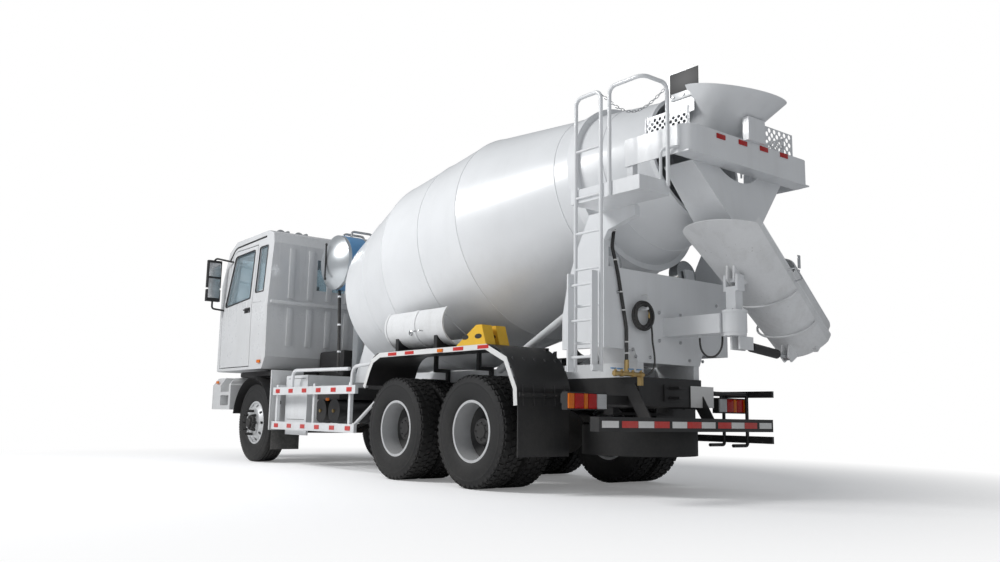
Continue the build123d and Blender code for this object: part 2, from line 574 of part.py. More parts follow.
with BuildPart() as drum:
    with BuildSketch(DRUM_PLANE) as drum_section:
        with BuildLine():
            Polyline((DRUM_SECTIONS[0][0], 0), *DRUM_SECTIONS,
                     *[(along - (DRUM_WALL if along > 2000 else 0), radius - DRUM_WALL)
                       for along, radius in reversed(DRUM_SECTIONS)],
                     (DRUM_SECTIONS[0][0] - DRUM_WALL, 0), close=True)
        make_face()
    revolve(axis=Axis(DRUM_ORIGIN, DRUM_AXIS))
    with BuildSketch(DRUM_PLANE) as track_section:
        with BuildLine():
            Polyline((TRACK_FRONT, 780), (TRACK_FRONT, TRACK_R), (TRACK_REAR, TRACK_R),
                     (TRACK_REAR, 780), close=True)
        make_face()
    revolve(axis=Axis(DRUM_ORIGIN, DRUM_AXIS))
    # stiffening ring round the mouth
    with BuildSketch(DRUM_PLANE) as mouth_section:
        with BuildLine():
            Polyline((MOUTH_ALONG + 45, MOUTH_R - 6), (MOUTH_ALONG + 45, MOUTH_R + MOUTH_RIM),
                     (MOUTH_ALONG, MOUTH_R + MOUTH_RIM), (MOUTH_ALONG, MOUTH_R - 6), close=True)
        make_face()
    revolve(axis=Axis(DRUM_ORIGIN, DRUM_AXIS))
drum.part.label = "drum"
export_step(drum.part, "parts/drum.step")

# --- rollers and rear pedestal -----------------------------------------------------------
ROLLER_R = 140
ROLLER_ANGLE = 33
ROLLER_GAP = 0.3
ROLLER_OUT = TRACK_R + ROLLER_R + ROLLER_GAP
ROLLER_ACROSS = ROLLER_OUT * sin(radians(ROLLER_ANGLE))
ROLLER_DOWN = ROLLER_OUT * cos(radians(ROLLER_ANGLE))
ROLLER_PIN_R = 35
TRACK_MIDDLE = (TRACK_FRONT + TRACK_REAR) / 2
for side_name, side in SIDES:
    with BuildPart() as roller:
        rod(on_drum(TRACK_MIDDLE - 55, side * ROLLER_ACROSS, ROLLER_DOWN),
            on_drum(TRACK_MIDDLE + 55, side * ROLLER_ACROSS, ROLLER_DOWN), ROLLER_R)
        rod(on_drum(TRACK_MIDDLE - 70, side * ROLLER_ACROSS, ROLLER_DOWN),
            on_drum(TRACK_MIDDLE + 70, side * ROLLER_ACROSS, ROLLER_DOWN),
            ROLLER_PIN_R + FIT, mode=Mode.SUBTRACT)
    roller.part.label = f"roller_{side_name}"
    export_step(roller.part, f"parts/roller_{side_name}.step")

PEDESTAL_REAR_X = ahead(-1430)
PEDESTAL_FRONT_X = ahead(-960)
BEAM_FRONT_X = ahead(-1245)
BEAM_TOP_Z = 2020
PEDESTAL_TOP_Z = 1900
COIL_Y = 420                        # the coiled wash hose hangs here
COIL_Z = 1605
SIDE_PLATE_Y = (808, 868)
DECK_Z = 2500
ARM_Z = (1440, 1610)
FITTING_STATIONS = (-1747, -1997)   # both ends of the lift cylinder's hose
FITTING_Y = -40
FITTING_HEIGHT = 20
PIVOT_X = ahead(-2160)
# half of the pedestal's outline from behind (y, z): foot, waist, shoulder
PEDESTAL_HALF = [(RAIL_OUT_Y, SILL_TOP_Z), (520, 1400), (SIDE_PLATE_Y[0], 1720)]


def pedestal_outline(shrink, top):
    """The pedestal seen from behind, drawn in by the given amount."""
    half = [(y - shrink, z + shrink) for y, z in PEDESTAL_HALF]
    half.append((SIDE_PLATE_Y[0] - shrink, top - shrink))
    return half + [(-y, z) for y, z in reversed(half)]


with BuildPart() as rear_pedestal:
    # hollow box on the sills, open to the front
    with BuildSketch(Plane.YZ.offset(PEDESTAL_REAR_X)) as box_outline:
        with BuildLine():
            Polyline(*pedestal_outline(0, PEDESTAL_TOP_Z), close=True)
        make_face()
    extrude(box_outline.sketch, amount=PEDESTAL_FRONT_X - PEDESTAL_REAR_X)
    with BuildSketch(Plane.YZ.offset(PEDESTAL_REAR_X + 20)) as box_hollow:
        with BuildLine():
            Polyline(*pedestal_outline(20, PEDESTAL_TOP_Z), close=True)
        make_face()
    extrude(box_hollow.sketch, amount=PEDESTAL_FRONT_X - PEDESTAL_REAR_X, mode=Mode.SUBTRACT)
    # cross beam behind the rollers
    slab(PEDESTAL_REAR_X, BEAM_FRONT_X, -SIDE_PLATE_Y[0], SIDE_PLATE_Y[0],
         PEDESTAL_TOP_Z - 5, BEAM_TOP_Z)
    for side in (-1, 1):
        # side plate: up past the drum to the deck's level, then rearward under the deck
        side_prism([(PEDESTAL_REAR_X, 1300), (ahead(-900), 1300), (ahead(-900), 1600),
                    (ahead(-965), 1900), (ahead(-1100), 2220), (ahead(-1250), DECK_Z),
                    (ahead(-1800), DECK_Z), (ahead(-1800), DECK_Z - 90), (ahead(-1480), 2330),
                    (PEDESTAL_REAR_X, 2250)],
                   min(side * SIDE_PLATE_Y[0], side * SIDE_PLATE_Y[1]),
                   max(side * SIDE_PLATE_Y[0], side * SIDE_PLATE_Y[1]))
        slab(PEDESTAL_REAR_X, PEDESTAL_REAR_X + 30, side * 470, side * SIDE_PLATE_Y[0], 1300, 1720)
        # diagonal tube forward to the sill
        rod((ahead(470), side * 500, SILL_TOP_Z - 20), (ahead(-1240), side * 663, 1890), 38)
        # roller carrier: two cheeks and the pin
        for along in (TRACK_MIDDLE - 80, TRACK_MIDDLE + 80):
            with BuildSketch(Plane(origin=on_drum(along - 12, side * ROLLER_ACROSS, ROLLER_DOWN),
                                   x_dir=(0, 1, 0), z_dir=DRUM_AXIS)) as cheek:
                with Locations((0, -130)):
                    Rectangle(130, 320)
            extrude(cheek.sketch, amount=24)
        rod(on_drum(TRACK_MIDDLE - 92, side * ROLLER_ACROSS, ROLLER_DOWN),
            on_drum(TRACK_MIDDLE + 92, side * ROLLER_ACROSS, ROLLER_DOWN), ROLLER_PIN_R)
    # peg that the coiled wash hose hangs on
    rod((PEDESTAL_REAR_X + 10, COIL_Y, COIL_Z + 62), (PEDESTAL_REAR_X - 110, COIL_Y, COIL_Z + 62), 13)
    # arm that carries the chute's pivot, with the hose fittings below it
    slab(PIVOT_X + 90, PEDESTAL_REAR_X, -95, 95, ARM_Z[0], ARM_Z[1])
    for station in FITTING_STATIONS:
        rod((ahead(station), FITTING_Y, ARM_Z[0] - FITTING_HEIGHT),
            (ahead(station), FITTING_Y, ARM_Z[0] + 1), 13)
    with Locations((PIVOT_X, 0, (ARM_Z[0] + ARM_Z[1]) / 2)):
        Cylinder(105, ARM_Z[1] - ARM_Z[0])
        Cylinder(60 + FIT, ARM_Z[1] - ARM_Z[0], mode=Mode.SUBTRACT)
rear_pedestal.part.label = "rear_pedestal"
export_step(rear_pedestal.part, "parts/rear_pedestal.step")

# --- mixer subframe with the front pedestal, drum gearbox -----------------------------------
DRUM_FRONT = DRUM_SECTIONS[0][0]
GEARBOX_R = 230
with BuildPart() as drum_gearbox:
    rod(on_drum(DRUM_FRONT + 0.3), on_drum(DRUM_FRONT + 240), GEARBOX_R)
    rod(on_drum(DRUM_FRONT + 240), on_drum(DRUM_FRONT + 420), 130)
drum_gearbox.part.label = "drum_gearbox"
export_step(drum_gearbox.part, "parts/drum_gearbox.step")

PEDESTAL_HEAD = on_drum(DRUM_FRONT + 150)
with BuildPart() as mixer_subframe:
    for side in (-1, 1):
        slab(SILL_REAR_X, SILL_FRONT_X, side * 350, side * RAIL_OUT_Y, FRAME_TOP_Z, SILL_TOP_Z)
    for station in (-900, 300, 1500, 2500):
        slab(ahead(station) - 40, ahead(station) + 40, -350, 350, FRAME_TOP_Z + 20, SILL_TOP_Z - 10)
    # pedestal that holds the gearbox in a round seat
    slab(ahead(3110), SILL_FRONT_X, -350, 350, SILL_TOP_Z - 30, SILL_TOP_Z)
    with BuildSketch(Plane.XY.offset(SILL_TOP_Z)):
        with Locations((ahead(3375), 0)):
            Rectangle(530, 2 * RAIL_OUT_Y)
    with BuildSketch(Plane.XY.offset(PEDESTAL_HEAD[2])):
        with Locations((PEDESTAL_HEAD[0], 0)):
            Rectangle(150, 600)
    loft()
    rod(on_drum(DRUM_FRONT - 200), on_drum(DRUM_FRONT + 700), GEARBOX_R, mode=Mode.SUBTRACT)
mixer_subframe.part.label = "mixer_subframe"
export_step(mixer_subframe.part, "parts/mixer_subframe.step")

# --- chute: turntable, main trough, folded extension and lift cylinder --------------------
SADDLE_Z = 1900
FALL_COS = cos(radians(CHUTE_SLOPE))
FALL_SIN = sin(radians(CHUTE_SLOPE))
CHUTE_AXIS = Vector(0, -FALL_COS, -FALL_SIN)
CHUTE_UP = Vector(0, -FALL_SIN, FALL_COS)
CYLINDER_BASE = (PIVOT_X, -150, 1335)
TROUGH_WALL = 8
# along the chute from its hinge, half width, depth of the trough, height of its floor
TROUGH_TOP = (-640, 400, 200, 55)
TROUGH_END = (1080, 280, 260, 90)
LIP_HALF = 420
LIP_CORNER = 330                    # the lip's corners and tip, above the hinge along the chute
LIP_TIP = 640


def on_chute(along, up, x=0):
    """A point along the chute from its hinge and square above the hinge."""
    place = Vector(PIVOT_X + x, 0, SADDLE_Z) + CHUTE_AXIS * along + CHUTE_UP * up
    return (place.X, place.Y, place.Z)


# +1 where the lip plane's own y axis points up the chute
LIP_SIGN = 1 if Plane(origin=on_chute(0, 0), x_dir=(1, 0, 0), z_dir=CHUTE_UP).y_dir.dot(CHUTE_AXIS) < 0 else -1


def trough_section(along, half_width, depth, floor, wall):
    """A rounded trough outline across the chute, drawn in by the wall."""
    plane = Plane(origin=on_chute(along, 0), x_dir=(1, 0, 0), z_dir=CHUTE_AXIS)
    sign = 1 if plane.y_dir.dot(CHUTE_UP) > 0 else -1
    inner = half_width - wall
    low = sign * (floor + wall)
    high = sign * (floor + depth + (40 if wall else 0))
    shoulder = sign * (floor + depth * 0.72)
    with BuildSketch(plane) as outline:
        with BuildLine():
            Polyline((-inner, shoulder), (-inner, high), (inner, high), (inner, shoulder))
            ThreePointArc((inner, shoulder), (0, low), (-inner, shoulder))
        make_face()
    return outline.sketch


def trough(top, end):
    """A thin open trough between two sections."""
    loft([trough_section(*top, 0), trough_section(*end, 0)])
    inner_top = (top[0] - 5, *top[1:])
    inner_end = (end[0] + 5, *end[1:])
    loft([trough_section(*inner_top, TROUGH_WALL), trough_section(*inner_end, TROUGH_WALL)],
         mode=Mode.SUBTRACT)


with BuildPart() as chute_turntable:
    # post through the arm's sleeve, flange above, lug for the cylinder below
    with Locations((PIVOT_X, 0, (ARM_Z[0] + ARM_Z[1]) / 2)):
        Cylinder(60, ARM_Z[1] - ARM_Z[0])
    with Locations((PIVOT_X, 0, ARM_Z[1] + 12)):
        Cylinder(110, 24)
    slab(PIVOT_X - 50, PIVOT_X + 50, -50, 50, ARM_Z[1] + 24, SADDLE_Z - 60)
    for x in (-62, 62):
        slab(PIVOT_X + x - 12, PIVOT_X + x + 12, -50, 50, SADDLE_Z - 100, SADDLE_Z + 45)
    slab(PIVOT_X - 74, PIVOT_X + 74, -50, 50, SADDLE_Z - 100, SADDLE_Z - 60)
    rod((PIVOT_X - 80, 0, SADDLE_Z), (PIVOT_X + 80, 0, SADDLE_Z), 20)
    with Locations((PIVOT_X, 0, ARM_Z[0] - 15)):
        Cylinder(100, 30)
    for x in (-42, 42):
        slab(PIVOT_X + x - 10, PIVOT_X + x + 10, -190, 0, CYLINDER_BASE[2] - 40, ARM_Z[0] - 30)
    rod((PIVOT_X - 52, CYLINDER_BASE[1], CYLINDER_BASE[2]),
        (PIVOT_X + 52, CYLINDER_BASE[1], CYLINDER_BASE[2]), 16)
chute_turntable.part.label = "chute_turntable"
export_step(chute_turntable.part, "parts/chute_turntable.step")

ROD_EYE = on_chute(1000, 20)
with BuildPart() as main_chute:
    trough(TROUGH_TOP, TROUGH_END)
    # the upper lip is rounded like a tongue
    with BuildSketch(Plane(origin=on_chute(0, 0), x_dir=(1, 0, 0), z_dir=CHUTE_UP)):
        with BuildLine():
            Polyline((-LIP_HALF, LIP_CORNER * LIP_SIGN), (-LIP_HALF, 1400 * LIP_SIGN * -1),
                     (LIP_HALF, 1400 * LIP_SIGN * -1), (LIP_HALF, LIP_CORNER * LIP_SIGN))
            ThreePointArc((LIP_HALF, LIP_CORNER * LIP_SIGN), (0, LIP_TIP * LIP_SIGN),
                          (-LIP_HALF, LIP_CORNER * LIP_SIGN))
        make_face()
    extrude(amount=900, mode=Mode.INTERSECT)
    # hinge lugs on the saddle pin
    for x in (-36, 36):
        with BuildSketch(Plane.YZ.offset(PIVOT_X + x - 10)):
            with BuildLine():
                Polyline((on_chute(-140, 96)[1:]), (on_chute(140, 96)[1:]),
                         (on_chute(45, -30)[1:]), (on_chute(-45, -30)[1:]), close=True)
            make_face()
        extrude(amount=20)
    rod((PIVOT_X - 60, 0, SADDLE_Z), (PIVOT_X + 60, 0, SADDLE_Z), 20 + FIT, mode=Mode.SUBTRACT)
    # rod-end lugs under the lower half
    for x in (-36, 36):
        with BuildSketch(Plane.YZ.offset(PIVOT_X + x - 8)):
            with BuildLine():
                Polyline((on_chute(900, 96)[1:]), (on_chute(1072, 96)[1:]),
                         (on_chute(1035, -15)[1:]), (on_chute(965, -15)[1:]), close=True)
            make_face()
        extrude(amount=16)
    # hinge ears of the extension at the lower end
    for x in (-200, 200):
        rod(on_chute(1092, 362, x * 0.9), on_chute(1092, 362, x * 1.19), 14)
        with BuildSketch(Plane.YZ.offset(PIVOT_X + x - 20)):
            with BuildLine():
                Polyline((on_chute(1040, 150)[1:]), (on_chute(1040, 340)[1:]),
                         (on_chute(1092, 376)[1:]), (on_chute(1106, 362)[1:]),
                         (on_chute(1085, 150)[1:]), close=True)
            make_face()
        extrude(amount=40)
main_chute.part.label = "main_chute"
export_step(main_chute.part, "parts/main_chute.step")

FOLD_LENGTH = 760
FOLD_PIVOT = on_chute(1092, 362)
with BuildPart() as fold_chute:
    # folded over on the main trough, so its floor is uppermost
    loft([trough_section(330, 270, -250, 636, 0), trough_section(1070, 240, -250, 636, 0)])
    loft([trough_section(325, 270, -250, 636 - 2 * TROUGH_WALL, TROUGH_WALL),
          trough_section(1075, 240, -250, 636 - 2 * TROUGH_WALL, TROUGH_WALL)], mode=Mode.SUBTRACT)
    for x in (-230, 230):
        with BuildSketch(Plane.YZ.offset(PIVOT_X + x - 6)):
            with BuildLine():
                Polyline((on_chute(980, 400)[1:]), (on_chute(1060, 440)[1:]),
                         (on_chute(1120, 375)[1:]), (on_chute(1110, 342)[1:]),
                         (on_chute(1060, 352)[1:]), close=True)
            make_face()
        extrude(amount=12)
    rod(on_chute(1092, 362, -300), on_chute(1092, 362, 300), 14 + FIT, mode=Mode.SUBTRACT)
fold_chute.part.label = "fold_chute"
export_step(fold_chute.part, "parts/fold_chute.step")

CYLINDER_LINE = Vector(*ROD_EYE) - Vector(*CYLINDER_BASE)
CYLINDER_DIR = CYLINDER_LINE.normalized()
BARREL_LENGTH = 465
ROD_R = 19


def on_cylinder(along):
    """A point along the lift cylinder from its base pin."""
    place = Vector(*CYLINDER_BASE) + CYLINDER_DIR * along
    return (place.X, place.Y, place.Z)


with BuildPart() as lift_barrel:
    rod(on_cylinder(10), on_cylinder(80), 24)
    rod(on_cylinder(75), on_cylinder(BARREL_LENGTH), 42)
    rod((PIVOT_X - 26, CYLINDER_BASE[1], CYLINDER_BASE[2]),
        (PIVOT_X + 26, CYLINDER_BASE[1], CYLINDER_BASE[2]), 30)
    rod((PIVOT_X - 60, CYLINDER_BASE[1], CYLINDER_BASE[2]),
        (PIVOT_X + 60, CYLINDER_BASE[1], CYLINDER_BASE[2]), 16 + FIT, mode=Mode.SUBTRACT)
    rod(on_cylinder(95), on_cylinder(BARREL_LENGTH + 10), ROD_R + FIT, mode=Mode.SUBTRACT)
lift_barrel.part.label = "lift_barrel"
export_step(lift_barrel.part, "parts/lift_barrel.step")

with BuildPart() as lift_rod:
    rod(on_cylinder(215), on_cylinder(CYLINDER_LINE.length - 12), ROD_R)
    rod((PIVOT_X - 24, ROD_EYE[1], ROD_EYE[2]), (PIVOT_X + 24, ROD_EYE[1], ROD_EYE[2]), 32)
lift_rod.part.label = "lift_rod"
export_step(lift_rod.part, "parts/lift_rod.step")

# --- charging hopper, discharge funnel and rear crossbar ----------------------------------
CROSSBAR_X = ahead(-2400)
CROSSBAR_FRONT_X = ahead(-1700)
CROSSBAR_HALF = 880
CROSSBAR_WALL = 12
CROSSBAR_Z = (2850, 3090)
RIM_SLOPE = 0.28                    # rise of the hopper's rim towards the front
RIM_REACH = 460
RIM_HALF_WIDTH = 470
RIM_Z = 3575
HOPPER_X = RIM_REACH / hypot(1, RIM_SLOPE) - LENGTH / 2
with BuildPart() as charge_hopper:
    # a bowl: wide tilted rim, narrow throat into the drum's mouth
    rim_plane = Plane(origin=(HOPPER_X, 0, RIM_Z), x_dir=(1, 0, RIM_SLOPE), z_dir=(-RIM_SLOPE, 0, 1))
    throat_plane = Plane(origin=(ahead(-1930), 0, 3190), x_dir=(1, 0, 0.5),
                         z_dir=(-0.5, 0, 1))
    with BuildSketch(throat_plane):
        Ellipse(190, 230)
    with BuildSketch(rim_plane):
        Ellipse(RIM_REACH, RIM_HALF_WIDTH)
    loft()
    with BuildSketch(throat_plane.offset(-4)):
        Ellipse(182, 222)
    with BuildSketch(rim_plane.offset(4)):
        Ellipse(RIM_REACH - 8, RIM_HALF_WIDTH - 8)
    loft(mode=Mode.SUBTRACT)
    # bracket down to the crossbar, splash plate at the front left
    slab(CROSSBAR_X - 40, CROSSBAR_X + 20, -120, 120, CROSSBAR_Z[1], 3300)
    slab(ahead(-2080), ahead(-1780), 395, 401, 3380, 3800)
charge_hopper.part.label = "charge_hopper"
export_step(charge_hopper.part, "parts/charge_hopper.step")

# the funnel: three plates, open towards the drum; each end as (front x, rear x, half width, z)
FUNNEL_TOP = (ahead(-1925), ahead(-2240), 635, CROSSBAR_Z[0])
FUNNEL_FOOT = (ahead(-1925), ahead(-2310), 205, 2380)
FUNNEL_WALL = 6


def funnel_level(front_x, rear_x, half_width, z, shrink):
    """The funnel's outline at one level; the hollow runs on past its open front."""
    with BuildSketch(Plane.XY.offset(z)) as level:
        with Locations(((front_x + rear_x) / 2 + shrink, 0)):
            Rectangle(front_x - rear_x, 2 * (half_width - shrink))
    return level.sketch


with BuildPart() as discharge_funnel:
    loft([funnel_level(*FUNNEL_FOOT, 0), funnel_level(*FUNNEL_TOP, 0)])
    loft([funnel_level(*FUNNEL_FOOT, FUNNEL_WALL), funnel_level(*FUNNEL_TOP, FUNNEL_WALL)],
         mode=Mode.SUBTRACT)
    # round clearance in the rear plate
    with BuildSketch(Plane.YZ.offset(ahead(-2400))) as clearance:
        with Locations((0, 3210)):
            Circle(450)
    extrude(clearance.sketch, amount=300, mode=Mode.SUBTRACT)
discharge_funnel.part.label = "discharge_funnel"
export_step(discharge_funnel.part, "parts/discharge_funnel.step")

with BuildPart() as rear_crossbar:
    # a channel bent round two corners, its lower flange turned in
    with BuildSketch(Plane.XY.offset(CROSSBAR_Z[0])) as bar_plan:
        with Locations(((CROSSBAR_X + CROSSBAR_FRONT_X) / 2, 0)):
            Rectangle(CROSSBAR_FRONT_X - CROSSBAR_X, 2 * CROSSBAR_HALF)
        fillet(bar_plan.vertices().group_by(Axis.X)[0], 120)
    with BuildSketch(Plane.XY.offset(CROSSBAR_Z[0])) as bar_hollow:
        with Locations(((CROSSBAR_X + CROSSBAR_FRONT_X) / 2 + 30, 0)):
            Rectangle(CROSSBAR_FRONT_X - CROSSBAR_X + 36, 2 * (CROSSBAR_HALF - CROSSBAR_WALL))
        fillet(bar_hollow.vertices().group_by(Axis.X)[0], 108)
    extrude(bar_plan.sketch, amount=CROSSBAR_Z[1] - CROSSBAR_Z[0])
    extrude(bar_hollow.sketch, amount=CROSSBAR_Z[1] - CROSSBAR_Z[0], mode=Mode.SUBTRACT)
    slab(CROSSBAR_X + 10, FUNNEL_TOP[1] + 4, -CROSSBAR_HALF + 10, CROSSBAR_HALF - 10,
         CROSSBAR_Z[0], CROSSBAR_Z[0] + 12)
    slab(CROSSBAR_X + 10, CROSSBAR_X + 40, -120, 120, CROSSBAR_Z[0] + 12, CROSSBAR_Z[1])
    for side in (-1, 1):
        # posts that stand on the pedestal's side plates
        slab(ahead(-1780), ahead(-1710), side * SIDE_PLATE_Y[0], side * SIDE_PLATE_Y[1], DECK_Z,
             CROSSBAR_Z[1])
rear_crossbar.part.label = "rear_crossbar"
export_step(rear_crossbar.part, "parts/rear_crossbar.step")

# --- water tank --------------------------------------------------------------------------
WATER_X = ahead(3700)
WATER_Z = 2700
WATER_R = 370
WATER_END_Y = 930
with BuildPart() as water_tank:
    with BuildSketch(Plane.YZ.offset(WATER_X)):
        with BuildLine():
            Polyline((0, WATER_Z), (WATER_END_Y, WATER_Z))
            ThreePointArc((WATER_END_Y, WATER_Z), (WATER_END_Y - 55, WATER_Z + 230),
                          (WATER_END_Y - 150, WATER_Z + WATER_R))
            Polyline((WATER_END_Y - 150, WATER_Z + WATER_R), (0, WATER_Z + WATER_R), (0, WATER_Z))
        make_face()
    revolve(axis=Axis((WATER_X, 0, WATER_Z), (0, 1, 0)))
    mirror(about=Plane.XZ)
    for side in (-1, 1):
        # saddles on two legs down to the frame rails
        slab(WATER_X - 200, WATER_X + 200, side * 350, side * 430, WATER_Z - 420, WATER_Z - 200)
        slab(WATER_X - 60, WATER_X + 60, side * 350, side * 430, FRAME_TOP_Z, WATER_Z - 400)
water_tank.part.label = "water_tank"
export_step(water_tank.part, "parts/water_tank.step")

# --- platform, its rails and the ladders -------------------------------------------------
RAIL_R = 17
LADDER_FRONT_X = ahead(-1480)
LADDER_REAR_X = ahead(-1780)
LADDER_FOOT_Z = 1060
LADDER_PIN_Y = 1340
LADDER_PIN_Z = 1090
LADDER_PIN_R = 8
DECK = (ahead(-2200), ahead(-1410), 885, 1248)
with BuildPart() as platform:
    slab(DECK[0], DECK[1], DECK[2], DECK[3], DECK_Z, DECK_Z + 20)
    slab(DECK[0], DECK[1], DECK[3] - 8, DECK[3], DECK_Z, DECK_Z + 120)
    slab(DECK[0], DECK[0] + 8, DECK[2], DECK[3], DECK_Z, DECK_Z + 120)
    # ladder and hand rails
    bent_tube([(LADDER_FRONT_X, 1257, LADDER_FOOT_Z), (LADDER_FRONT_X, 1257, 3430),
               (LADDER_REAR_X, 1257, 3430), (LADDER_REAR_X, 1257, LADDER_FOOT_Z)], RAIL_R, 70)
    for rung in range(5):
        rod((LADDER_FRONT_X, 1257, 1300 + rung * 310), (LADDER_REAR_X, 1257, 1300 + rung * 310), 12)
    rod((LADDER_FRONT_X, 1257, 2950), (LADDER_REAR_X, 1257, 2950), 12)
    bent_tube([(ahead(-1880), 1257, DECK_Z), (ahead(-1880), 1257, 3430), (ahead(-2250), 1257, 3430),
               (ahead(-2250), 960, 3430), (ahead(-2250), 960, DECK_Z + 60)], RAIL_R, 70)
    # brackets and pins for the folding ladder
    for rail_x, outward in ((LADDER_FRONT_X, 1), (LADDER_REAR_X, -1)):
        slab(rail_x + outward * 3, rail_x + outward * 15, 1250, LADDER_PIN_Y + 20,
             LADDER_PIN_Z - 22, LADDER_PIN_Z + 22)
        rod((rail_x + outward * 14, LADDER_PIN_Y, LADDER_PIN_Z),
            (rail_x - outward * 22, LADDER_PIN_Y, LADDER_PIN_Z), LADDER_PIN_R)
platform.part.label = "platform"
export_step(platform.part, "parts/platform.step")

with BuildPart() as folding_ladder:
    # stowed upward beside the fixed ladder
    for x in (LADDER_FRONT_X - 10, LADDER_REAR_X + 10):
        slab(x - 8, x + 8, 1290, 1358, 1060, 1880)
    for rung in range(3):
        rod((LADDER_FRONT_X - 10, 1320, 1180 + rung * 300),
            (LADDER_REAR_X + 10, 1320, 1180 + rung * 300), 12)
    rod((LADDER_FRONT_X + 10, LADDER_PIN_Y, LADDER_PIN_Z),
        (LADDER_REAR_X - 10, LADDER_PIN_Y, LADDER_PIN_Z), LADDER_PIN_R + FIT, mode=Mode.SUBTRACT)
folding_ladder.part.label = "folding_ladder"
export_step(folding_ladder.part, "parts/folding_ladder.step")

# --- stowed extension trough, chocks -----------------------------------------------------
with BuildPart() as stowed_chute:
    with BuildSketch(Plane(origin=(STOWED_X[0], STOWED_Y, STOWED_Z), x_dir=(0, 1, 0),
                           z_dir=(1, 0, 0))):
        Circle(STOWED_R)
        Circle(STOWED_R - 8, mode=Mode.SUBTRACT)
        Rectangle(520, 300, rotation=STOWED_LEAN, align=(Align.CENTER, Align.MIN), mode=Mode.SUBTRACT)
    extrude(amount=STOWED_X[1] - STOWED_X[0])
stowed_chute.part.label = "stowed_chute"
export_step(stowed_chute.part, "parts/stowed_chute.step")

with BuildPart() as wheel_chocks:
    for y in (960, 1130):
        with BuildSketch(Plane.XZ.offset(-y)):
            with BuildLine():
                Polyline((ahead(230), GUARD_TOP_Z), (ahead(-250), GUARD_TOP_Z),
                         (ahead(-180), GUARD_TOP_Z + 190), (ahead(-90), GUARD_TOP_Z + 190), close=True)
            make_face()
        extrude(amount=-120)
wheel_chocks.part.label = "wheel_chocks"
export_step(wheel_chocks.part, "parts/wheel_chocks.step")

# --- cab ---------------------------------------------------------------------------------
CAB_REAR_X = ahead(4770)
CAB_FRONT_X = ahead(6700)
CAB_FOOT_Z = 1290
CAB_WALL = 50
ROOF_HALF_WIDTH = 1170
DOOR_REAR_X = ahead(5310)
DOOR_FRONT_X = ahead(6420)
DOOR_GAP = 12
# side view of the cab, anticlockwise from the foot of the rear wall (x, z)
CAB_SIDE = [(4770, 1460), (4880, 1290), (6690, 1290), (6700, 2150), (6400, 3130), (6150, 3270),
            (5000, 3290), (4820, 3230), (4770, 3080)]
CAB_INSIDE = [(4820, 1480), (4900, 1345), (6640, 1345), (6648, 2145), (6358, 3100), (6130, 3220),
              (5005, 3240), (4850, 3190), (4820, 3060)]


def cab_block(outline, wall):
    """The cab's outer or inner form: side view, front view and plan view in common."""
    side_view = [(ahead(x), z) for x, z in outline]
    half = BODY_HALF_WIDTH - wall
    roof_half = ROOF_HALF_WIDTH - wall
    with BuildPart() as block:
        side_prism(side_view, -1400, 1400)
        with BuildSketch(Plane.YZ.offset(ahead(4600))) as front_view:
            with BuildLine():
                Polyline((-half + 10, 1200), (half - 10, 1200), (half, 2200), (roof_half, 3400),
                         (-roof_half, 3400), (-half, 2200), close=True)
            make_face()
        extrude(front_view.sketch, amount=2300, mode=Mode.INTERSECT)
        with BuildSketch(Plane.XY.offset(1100)) as plan_view:
            with Locations((ahead(5000) + (CAB_FRONT_X - wall - ahead(5000)) / 2, 0)):
                Rectangle(CAB_FRONT_X - wall - ahead(5000) + 0, 2 * half)
            fillet(plan_view.vertices().group_by(Axis.X)[-1], 260 - wall)
            with Locations((ahead(4700), 0)):
                Rectangle(1000, 2 * half)
        extrude(plan_view.sketch, amount=2400, mode=Mode.INTERSECT)
    return block.part


WINDOW_FOOT_Z = 2260
DOOR_SIDE = [(DOOR_REAR_X, 1330), (DOOR_FRONT_X, 1330), (DOOR_FRONT_X, 2260),
             (ahead(6225), 3050), (ahead(6120), 3120), (DOOR_REAR_X, 3120)]
DOOR_WINDOW = [(DOOR_REAR_X + 90, 2330), (ahead(6310), WINDOW_FOOT_Z), (ahead(6110), 3030),
               (DOOR_REAR_X + 90, 3050)]
QUARTER_WINDOW = [(ahead(4960), 2420), (DOOR_REAR_X - 80, 2400), (DOOR_REAR_X - 80, 3060),
                  (ahead(4960), 3060)]


def grown(points, amount):
    """An outline drawn out by the given amount in side view."""
    with BuildSketch(Plane.XZ) as outline:
        with BuildLine():
            Polyline(*points, close=True)
        make_face()
        offset(amount=amount, kind=Kind.INTERSECTION)
    return outline.sketch


